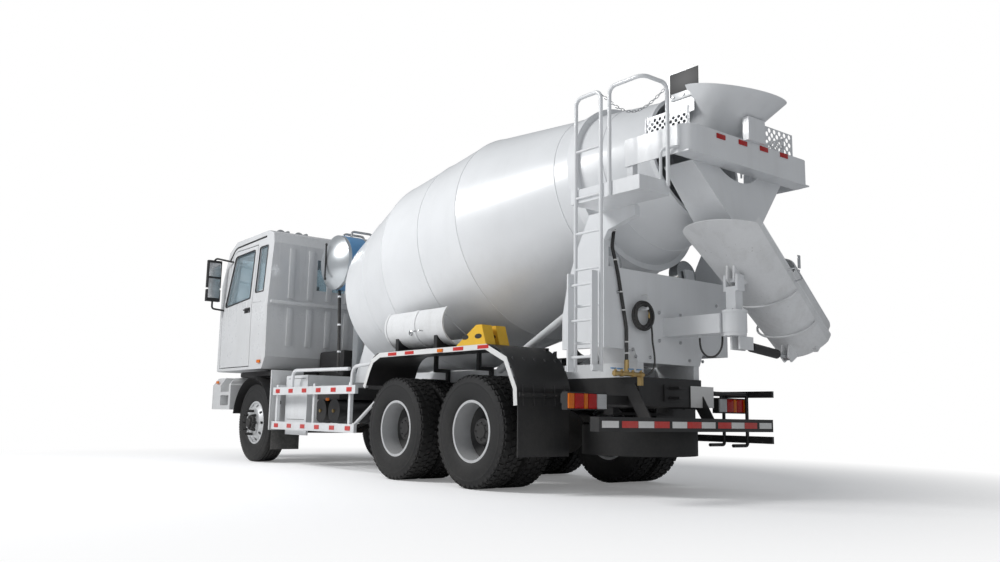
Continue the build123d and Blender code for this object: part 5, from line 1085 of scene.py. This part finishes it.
for z in (2.24, 1.86, 1.50):
    turned(shape, [(-0.012, 0.026), (0.012, 0.026)], (at(3.67 + (z - 1.95) * 0.07), 0.70, z),
           (0, 0, 1), 5, 16)
piece("tank_fittings", shape, [stainless, blue, steel, matt_black, hose_rubber, white], "chassis")

print("tank at", [round(v, 3) for v in TANK])

# %% [markdown]
# The chocks' holes are thin dark ovals of painted shade laid on their sides. The stowed trough's
# bands follow its half round, which leans outward, and its handle and latch stand on the outer face.

# %% Chock hole shade, trough bands and latch
# Dark ovals of painted shade stand where the chocks' holes are.
shape = bmesh.new()
for y in (1.0803, 1.2503):
    for x in (-0.13, 0.08):
        oval = [(x + 0.055 * cos(2 * pi * k / 20), 1.445 + 0.024 * sin(2 * pi * k / 20))
                for k in range(20)]
        plate(shape, oval, -0.0015, (at(0), y, 0), (1, 0, 0), (0, 0, 1), 0)
piece("chock_hole_shade", shape, [matt_black], "chassis")

TROUGH = Vector((0, 0.985, 1.64))
LEAN = radians(42)
shape = bmesh.new()
for x, width in ((0.535, 0.03), (1.06, 0.05), (1.625, 0.03)):
    ring = []
    for radius in (0.2315, 0.2375):
        for px in (x - width / 2, x + width / 2):
            ring.append([shape.verts.new((at(px), TROUGH.y + radius * sin(a), TROUGH.z - radius * cos(a)))
                         for a in [LEAN - pi / 2 + pi * k / 24 for k in range(25)]])
    low_in, high_in, low_out, high_out = ring
    for first, second in ((low_in, high_in), (high_in, high_out), (high_out, low_out), (low_out, low_in)):
        for k in range(24):
            shape.faces.new((first[k], first[k + 1], second[k + 1], second[k]))
    for k in (0, 24):
        shape.faces.new((low_in[k], high_in[k], high_out[k], low_out[k]))
HANDLE_TURN = 1.25
handle_z = TROUGH.z - 0.238 * cos(HANDLE_TURN)
handle_y = TROUGH.y + 0.238 * sin(HANDLE_TURN)
grip = [(at(x), handle_y + out, handle_z) for x, out in ((0.90, -0.005), (0.90, 0.04), (1.02, 0.04),
                                                         (1.02, -0.005))]
tube(shape, soft_path(grip, 0.02), 0.006, 1, 8)
turned(shape, stud(0.030, 0.012, 0.022, 0.017),
       (at(1.115), handle_y - 0.004, handle_z - 0.01), (0, 1, 0), 1, 24)
piece("stowed_trough_trim", shape, [chute_white, steel], "chassis")
print("trough at", [round(v, 3) for v in TROUGH])

# %% [markdown]
# ## Cab trim
# The cab gets what can be seen of it from behind and from the side: gutters above the doors, door
# handles, mirror glass, lamps, roof horns, pressed ribs in the rear wall, a grille, wipers and
# blank number plates.

# %% Door and window trim
CAB_HALF, WAIST_Z, CAB_LEAN = 1.245, 2.2, (1.245 - 1.17) / (3.4 - 2.2)


def window_seal(shape, outline, sign, bend, radius):
    """A rubber seal round a window, on the cab's side that leans in above the waist."""
    loop = [(at(x), sign * (CAB_HALF - (z - WAIST_Z) * CAB_LEAN + 0.001), z) for x, z in outline]
    tube(shape, soft_path(loop + [loop[0]], bend), radius, 0, 8)


shape = bmesh.new()
for side, sign in SIDES:
    tube(shape, soft_path([(at(6.33), sign * 1.198, 3.00), (at(6.16), sign * 1.182, 3.175),
                           (at(5.05), sign * 1.182, 3.205)], 0.1), 0.013, 0, 8)
    window_seal(shape, [(4.955, 2.395), (5.235, 2.395), (5.235, 3.065), (4.955, 3.065)], sign,
                0.03, 0.009)
piece("cab_seals", shape, [hose_rubber], "cab")

for side, sign in SIDES:
    shape = bmesh.new()
    window_seal(shape, [(5.40, 2.33), (6.31, 2.26), (6.11, 3.03), (5.40, 3.05)], sign, 0.05, 0.010)
    block(shape, (at(5.36), sign * 1.244, 2.115), (at(5.56), sign * 1.2485, 2.190), 0, 0.004)
    tube(shape, soft_path([(at(5.385), sign * 1.246, 2.16), (at(5.385), sign * 1.278, 2.16),
                           (at(5.535), sign * 1.278, 2.16), (at(5.535), sign * 1.246, 2.16)], 0.02),
         0.008, 0, 8)
    turned(shape, stud(0.014, 0.004, 0.009, 0.006),
           (at(5.40), sign * 1.2475, 2.135), (0, sign, 0), 1, 16)
    piece(f"door_trim_{side}", shape, [matt_black, steel], f"door_{side}")
    shape = bmesh.new()
    for z0, z1 in ((2.40, 2.70), (2.73, 2.94)):
        block(shape, (at(6.326), sign * 1.345, z0), (at(6.3305), sign * 1.525, z1), 0, 0.004)
    piece(f"mirror_glass_{side}", shape, [steel], f"door_{side}")
print("cab half width", CAB_HALF, "lean", CAB_LEAN)

# %% [markdown]
# Ribs are pressed into the rear wall, lamps sit on the lower corners, and a pair of horns with a
# rail and two beacons stands on the roof. The front gets slats, wipers and a blank plate.

# %% Cab ribs, lamps, horns, grille and plates
shape = bmesh.new()
for k in range(7):
    y = -0.90 + 0.30 * k
    block(shape, (at(4.7705), y - 0.045, 2.30), (at(4.756), y + 0.045, 3.02), 0, 0.006)
    block(shape, (at(4.7705), y - 0.045, 1.62), (at(4.756), y + 0.045, 2.16), 0, 0.006)
block(shape, (at(4.7705), -1.20, 2.205), (at(4.745), 1.20, 2.255), 0, 0.006)
for sign in (1, -1):
    block(shape, (at(5.00), sign * 1.244, 2.245), (at(5.28), sign * 1.247, 2.262), 0, 0.001)
piece("cab_rear_ribs", shape, [cab_paint], "cab")

shape = bmesh.new()
for sign in (1, -1):
    block(shape, (at(4.905), sign * 1.2425, 1.372), (at(5.005), sign * 1.2605, 1.416), 0, 0.006)
piece("cab_side_lamps", shape, [orange_lens], "cab")

shape = bmesh.new()
for y in (0.42, 0.72):
    turned(shape, [(0.0, 0.024), (0.10, 0.026), (0.20, 0.034), (0.245, 0.055), (0.262, 0.085),
                   (0.258, 0.080), (0.20, 0.022)], (at(5.35), y, 3.372), (1, 0, 0), 0, 28)
    for x in (5.40, 5.52):
        block(shape, (at(x) - 0.008, y - 0.012, 3.275), (at(x) + 0.008, y + 0.012, 3.36), 0, 0.002)
tube(shape, [(at(5.46), -0.95, 3.315), (at(5.46), 0.95, 3.315)], 0.014, 0, 10)
for y in (-0.93, -0.31, 0.31, 0.93):
    tube(shape, [(at(5.46), y, 3.27), (at(5.46), y, 3.315)], 0.012, 0, 8)
for y in (-1.02, 1.02):
    turned(shape, [(0.0, 0.034), (0.02, 0.036), (0.045, 0.030), (0.055, 0.0)], (at(6.00), y, 3.252),
           (0, 0, 1), 1, 20)
piece("roof_horns", shape, [steel, orange_lens], "cab")

shape = bmesh.new()
for k in range(6):
    z = 1.40 + 0.105 * k
    block(shape, (at(6.695), -0.86, z), (at(6.712), 0.86, z + 0.055), 0, 0.006)
for sign in (1, -1):
    tube(shape, [(at(6.700), sign * 0.08, 2.125), (at(6.62), sign * 0.55, 2.52)], 0.007, 0, 8)
    tube(shape, [(at(6.675), sign * 0.33, 2.27), (at(6.575), sign * 0.78, 2.64)], 0.006, 0, 8)
piece("cab_grille", shape, [matt_black], "cab")
shape = bmesh.new()
block(shape, (at(6.7785), -0.26, 0.80), (at(6.7825), 0.26, 0.91), 0, 0.002)
piece("front_plate", shape, [white_tape], "chassis")
shape = bmesh.new()
block(shape, (at(-1.4560), -0.60, 0.80), (at(-1.4520), -0.26, 1.00), 0, 0.002)
piece("rear_plate", shape, [white_tape], "chassis")

# %% [markdown]
# Behind each front wheel stands a pale splash panel with a slot of painted shade and a rubber flap
# below it. A black sheet of painted shade closes the space under the cab, and bent tubes rise from
# the side guard's rails.

# %% Splash panels, painted shade under the cab and guard tubes
for side, sign in SIDES:
    shape = bmesh.new()
    block(shape, (at(4.500), sign * 0.770, 0.455), (at(4.514), sign * 1.225, 1.262), 0, 0.004)
    block(shape, (at(4.500), sign * 1.222, 0.455), (at(4.530), sign * 1.242, 1.262), 0, 0.006)
    # The slot is a thin black block of painted shade.
    block(shape, (at(4.4955), sign * 1.118, 0.730), (at(4.501), sign * 1.140, 0.925), 1, 0.002)
    block(shape, (at(4.4925), sign * 1.085, 0.800), (at(4.501), sign * 1.122, 0.845), 1, 0.002)
    block(shape, (at(4.502), sign * 0.790, 0.195), (at(4.508), sign * 1.205, 0.462), 2, 0.002)
    for y in (0.82, 0.93, 1.04, 1.15):
        turned(shape, stud(0.009, 0.006, 0.005, 0.008),
               (at(4.500), sign * y, 0.474), (-1, 0, 0), 1, 6)
    tube(shape, soft_path([(at(3.946), sign * 1.195, 1.00), (at(3.946), sign * 1.195, 1.235),
                           (at(2.45), sign * 1.195, 1.215)], 0.14), 0.022, 3, 14)
    tube(shape, soft_path([(at(2.372), sign * 1.195, 0.98), (at(2.366), sign * 1.195, 1.235),
                           (at(1.90), sign * 1.195, 1.262)], 0.14), 0.022, 3, 14)
    tube(shape, [(at(2.36), sign * 1.18, 0.53), (at(1.94), sign * 1.12, 0.83)], 0.020, 0, 12)
    block(shape, (at(6.36), sign * 1.243, 1.105), (at(6.46), sign * 1.256, 1.145), 4, 0.006)
    block(shape, (at(3.16), sign * 1.060, 0.845), (at(3.24), sign * 1.075, 0.880), 4, 0.006)
    piece(f"side_panels_{side}", shape, [cab_paint, matt_black, hose_rubber, white, orange_lens], "chassis")
shape = bmesh.new()
# A black sheet of painted shade fills the dark space under the cab.
block(shape, (at(4.80), -1.12, 1.185), (at(5.88), 1.12, 1.268), 0, 0.03)
block(shape, (at(4.02), -0.42, 1.195), (at(4.74), 0.42, 1.560), 0, 0.04)
piece("under_cab_shade", shape, [matt_black], "chassis")
print("side panels", len(SIDES))

# %% [markdown]
# ## Drum and pedestal details
# Weld seams run round the drum where its cones meet, and lie on the drum's own slanted axis.
# The pedestal carries bolt heads, hose ties, the hook of the coiled hose and blue valve handles.

# %% Drum seams and hatch
TILT = radians(10.5)
DRUM_AXIS = Vector((cos(TILT), 0, -sin(TILT)))
DRUM_ZERO = Vector((at(0.0), 0, 2.75))
shape = bmesh.new()
for along, radius in ((-0.785, 0.865), (0.417, 1.170), (1.10, 1.1897), (1.830, 1.206), (2.45, 1.0879),
                      (-1.30, 0.7300)):
    turned(shape, [(along - 0.010, radius - 0.006), (along - 0.005, radius + 0.0035),
                   (along + 0.005, radius + 0.0035), (along + 0.010, radius - 0.006)],
           DRUM_ZERO, DRUM_AXIS, 0, 96, True)
hatch_middle = DRUM_ZERO + DRUM_AXIS * 1.10 + Vector((0, -1.186, 0))
turned(shape, stud(0.27, -0.016, 0.26, -0.022), hatch_middle, (0, 1, 0), 0, 40)
for k in range(8):
    spot = hatch_middle + Vector((0.235 * cos(pi * k / 4), 0, 0.235 * sin(pi * k / 4)))
    turned(shape, [(-0.022, 0.016), (-0.036, 0.016), (-0.042, 0.009), (-0.042, 0.0)], spot, (0, 1, 0), 1, 6)
piece("drum_seams", shape, [drum_white, steel], "drum")
print("drum axis", [round(v, 3) for v in DRUM_AXIS])

# %% [markdown]
# Small parts of the pedestal: bolts on its plates and on the chute's bearing, pale ties along the
# water hose, valve bodies with blue levers, and the hook that carries the coiled hose.

# %% Pedestal bolts, hose ties, hook and valves
shape = bmesh.new()
for y, z in ((0.505, 1.30), (-0.505, 1.30), (0.47, 1.24), (-0.47, 1.24), (0.28, 1.24), (-0.28, 1.24),
             (0.70, 1.80), (-0.70, 1.80), (0.15, 1.66), (-0.15, 1.66), (0.15, 1.40), (-0.15, 1.40)):
    turned(shape, [(0.0, 0.017), (0.010, 0.017), (0.010, 0.009), (0.016, 0.009), (0.016, 0.0)],
           (at(-1.430), y, z), (-1, 0, 0), 0, 6)
for k in range(6):
    spot = (at(-2.16) + 0.088 * cos(pi * k / 3), 0.088 * sin(pi * k / 3), 1.634)
    turned(shape, stud(0.010, 0.009, 0.006, 0.012), spot, (0, 0, 1), 0, 6)
piece("pedestal_bolts", shape, [steel], "chassis")

shape = bmesh.new()
for y, z in ((0.757, 2.34), (0.742, 2.08), (0.668, 1.80), (0.638, 1.64), (0.60, 1.36), (0.60, 1.26)):
    turned(shape, band(0.006, 0.0185, 0.0205),
           (at(-1.452), y, z), (0, 0, 1), 0, 16, True)
piece("hose_ties", shape, [white_tape], "chassis")

shape = bmesh.new()
for y in (0.455, 0.560, 0.700, 0.780):
    turned(shape, [(0.0, 0.011), (0.030, 0.011), (0.030, 0.0)], (COIL_X, y, 1.085), (0, 0, 1), 0, 12)
    block(shape, (COIL_X - 0.010, y - 0.006, 1.112), (COIL_X + 0.010, y + 0.052, 1.124), 1, 0.003)
    turned(shape, [(-0.016, 0.027), (0.016, 0.027)], (COIL_X, y, MANIFOLD_Z), (0, 1, 0), 0, 6)
piece("manifold_valves", shape, [brass, blue], "chassis")

shape = bmesh.new()
tube(shape, soft_path([(at(-1.436), 0.39, 1.80), (at(-1.505), 0.39, 1.80), (at(-1.530), 0.40, 1.745),
                       (at(-1.530), 0.44, 1.735)], 0.02), 0.004, 0, 8)
piece("coil_hook", shape, [white_tape], "chassis")

# %% [markdown]
# A chain closes the gap in the platform's rail: links are set along a sagging line, each turned a
# quarter from the one before it.

# %% Platform chain
def link(shape, centre, along, quarter, length=0.034, width=0.020, wire_r=0.0032):
    """One oval chain link, turned about the chain's line by quarters."""
    along = Vector(along).normalized()
    side = along.cross(Vector((0, 0, 1))).normalized()
    side = Matrix.Rotation(pi / 2 * quarter, 3, along) @ side
    straight = (length - width) / 2
    path = []
    for k in range(12):
        a = 2 * pi * k / 12
        shift = straight if cos(a) >= 0 else -straight
        path.append(Vector(centre) + along * (shift + width / 2 * cos(a)) + side * (width / 2 * sin(a)))
    tube(shape, path, wire_r, 0, 6, closed=True)


shape = bmesh.new()
CHAIN_START, CHAIN_END = Vector((at(-1.80), 1.250, 3.38)), Vector((at(-2.24), 1.000, 3.36))
LINKS, SAG = 22, 0.16
places = [CHAIN_START.lerp(CHAIN_END, k / (LINKS - 1)) - Vector((0, 0, SAG * sin(pi * k / (LINKS - 1))))
          for k in range(LINKS)]
for k in range(LINKS):
    link(shape, places[k], places[min(k + 1, LINKS - 1)] - places[max(k - 1, 0)], k % 2)
piece("platform_chain", shape, [steel], "chassis")
print("chain links", LINKS)

# %% [markdown]
# Straps hold the air and fuel tanks, and the cabinet gets its dark opening of painted shade, latch and
# seams.

# %% Tank straps and cabinet latch
shape = bmesh.new()
for x in (3.48, 3.13):
    for y in (0.55, 0.90):
        turned(shape, band(0.018, 0.1505, 0.1545),
               (at(x), y, 0.72), (0, 1, 0), 0, 40, True)
    turned(shape, [(0.0, 0.022), (0.018, 0.022), (0.018, 0.0)], (at(x), 1.008, 0.72), (0, 1, 0), 1, 8)
piece("air_tank_straps", shape, [black, brass], "chassis")

shape = bmesh.new()
for x in (3.10, 3.60, 4.10):
    block(shape, (at(x) - 0.02, -1.084, 0.448), (at(x) + 0.02, -0.468, 0.452), 0, 0.001)
    block(shape, (at(x) - 0.02, -1.084, 0.450), (at(x) + 0.02, -1.080, 1.020), 0, 0.001)
    block(shape, (at(x) - 0.02, -1.084, 1.018), (at(x) + 0.02, -0.468, 1.023), 0, 0.001)
turned(shape, stud(0.05, 0.035, 0.04, 0.045), (at(4.15), -0.90, 1.020), (0, 0, 1), 1, 24)
piece("fuel_tank_straps", shape, [steel, matt_black], "chassis")

shape = bmesh.new()
# A black sheet of painted shade stands in the cabinet's opening.
block(shape, (at(4.372), 0.70, 0.62), (at(4.378), 1.04, 1.12), 0, 0.004)
block(shape, (at(4.02), 1.078, 0.96), (at(4.10), 1.086, 1.03), 1, 0.006)
block(shape, (at(4.045), 1.084, 0.975), (at(4.075), 1.095, 1.015), 1, 0.004)
block(shape, (at(3.80), 1.079, 0.60), (at(4.31), 1.082, 0.605), 1, 0.001)
block(shape, (at(3.80), 1.079, 1.135), (at(4.31), 1.082, 1.140), 1, 0.001)
piece("cabinet_latch_and_shade", shape, [matt_black, matt_black], "chassis")

# %% [markdown]
# ## Chute details
# The chute wears a rolled rim, a wire handle and the latch of its folded extension.

# %% Chute handles and latch
SLOPE = radians(40)
CHUTE_DOWN = Vector((0, -cos(SLOPE), -sin(SLOPE)))
CHUTE_UP = Vector((0, -sin(SLOPE), cos(SLOPE)))
SADDLE = Vector((at(-2.16), 0, 1.90))


def on_chute(along, up, across=0.0):
    """A point along the chute from its saddle pin, square above it and across it."""
    return SADDLE + CHUTE_DOWN * along + CHUTE_UP * up + Vector((across, 0, 0))


shape = bmesh.new()
for sign in (1, -1):
    rim = [on_chute(-0.36, 0.262, sign * 0.380), on_chute(1.07, 0.352, sign * 0.276)]
    tube(shape, rim, 0.009, 0, 10)
tube(shape, soft_path([on_chute(0.16, 0.24, -0.365), on_chute(0.16, 0.26, -0.43),
                       on_chute(0.30, 0.265, -0.425), on_chute(0.30, 0.245, -0.355)], 0.025), 0.007, 1, 8)
for along in (0.40, 0.80):
    share = (along + 0.64) / 1.72
    half, floor = 0.404 - 0.12 * share, 0.22 + 0.035 * share
    tube(shape, [on_chute(along, floor - 0.172 * sin(pi * k / 16), half * cos(pi * k / 16))
                 for k in range(17)], 0.011, 0, 8)
piece("chute_rim", shape, [chute_white, steel], "main_chute")

shape = bmesh.new()
tube(shape, soft_path([on_chute(0.55, 0.645, 0.10), on_chute(0.55, 0.70, 0.10), on_chute(0.55, 0.70, -0.10),
                       on_chute(0.55, 0.645, -0.10)], 0.03), 0.008, 0, 10)
block(shape, on_chute(0.345, 0.50, -0.275) - Vector((0.004, 0.02, 0.02)),
      on_chute(0.345, 0.50, -0.275) + Vector((0.004, 0.02, 0.10)), 0, 0.003)
piece("extension_handle", shape, [steel], "fold_chute")
print("chute saddle at", [round(v, 3) for v in SADDLE])

# %% [markdown]
# ## Floor and light
# A pale floor keeps the shadow and fades into a plain white surround. Far from the truck, and to
# the camera only, it turns from a matt surface into flat white.

# %% Floor
def make_floor():
    """A wide pale floor; far from the truck it turns plain white to the camera."""
    mesh = bpy.data.meshes.new("floor")
    size = 60.0
    mesh.from_pydata([(-size, -size, 0), (size, -size, 0), (size, size, 0), (-size, size, 0)], [],
                     [(0, 1, 2, 3)])
    floor = show(bpy.data.objects.new("floor", mesh))
    material, tree, shader = new_material("floor")
    tree.nodes.clear()
    place = put(tree, "ShaderNodeTexCoord").outputs["Object"]
    length = put(tree, "ShaderNodeVectorMath", {0: place}, operation="LENGTH").outputs["Value"]
    to_camera = put(tree, "ShaderNodeLightPath").outputs["Is Camera Ray"]
    seen = times(tree, spread(tree, length, 4.2, 8.0), to_camera)
    matt = put(tree, "ShaderNodeBsdfDiffuse", {"Color": (0.93, 0.93, 0.935, 1)})
    lift = put(tree, "ShaderNodeEmission", {"Color": (1, 1, 1, 1),
                                            "Strength": times(tree, to_camera, 0.17)})
    pale = put(tree, "ShaderNodeAddShader", {0: matt.outputs[0], 1: lift.outputs[0]})
    plain = put(tree, "ShaderNodeEmission", {"Color": (1, 1, 1, 1), "Strength": 1.0})
    mixed = put(tree, "ShaderNodeMixShader", {0: seen, 1: pale.outputs[0], 2: plain.outputs[0]})
    put(tree, "ShaderNodeOutputMaterial", {0: mixed.outputs[0]})
    mesh.materials.append(material)


make_floor()
print("floor staged")

# %% [markdown]
# Two square lamps and the world light the truck: a strong key high on its left, a weak one from
# behind the camera, and a grey surround that only the camera and the glass see as white.

# %% Lamps and world
def make_lamp(name, place, target, size, watts):
    """A square soft lamp that points at a target."""
    data = bpy.data.lights.new(name, "AREA")
    data.size = size
    data.energy = watts
    lamp = show(bpy.data.objects.new(name, data))
    lamp.location = place
    lamp.rotation_euler = (Vector(target) - Vector(place)).to_track_quat("-Z", "Y").to_euler()


def make_world():
    """White to the camera and through glass, soft grey as a light."""
    world = bpy.data.worlds.new("studio")
    world.use_nodes = True
    tree = world.node_tree
    tree.nodes.clear()
    path = put(tree, "ShaderNodeLightPath")
    seen = maths(tree, "MAXIMUM", path.outputs["Is Camera Ray"], path.outputs["Is Transmission Ray"])
    dim = put(tree, "ShaderNodeBackground", {"Color": (0.93, 0.96, 1.0, 1), "Strength": 0.34})
    full = put(tree, "ShaderNodeBackground", {"Color": (1, 1, 1, 1), "Strength": 1.0})
    mixed = put(tree, "ShaderNodeMixShader", {0: seen, 1: dim.outputs[0], 2: full.outputs[0]})
    put(tree, "ShaderNodeOutputWorld", {0: mixed.outputs[0]})
    bpy.context.scene.world = world


make_world()
make_lamp("key", (2.5, 9.5, 8.5), (0.0, 0.0, 1.4), 4.0, 1020)
make_lamp("behind_camera", (-11.0, 6.0, 4.0), (0.0, 0.0, 1.5), 6.0, 80)
bpy.context.scene.view_settings.view_transform = "Standard"
print("lamps", len(bpy.data.lights))
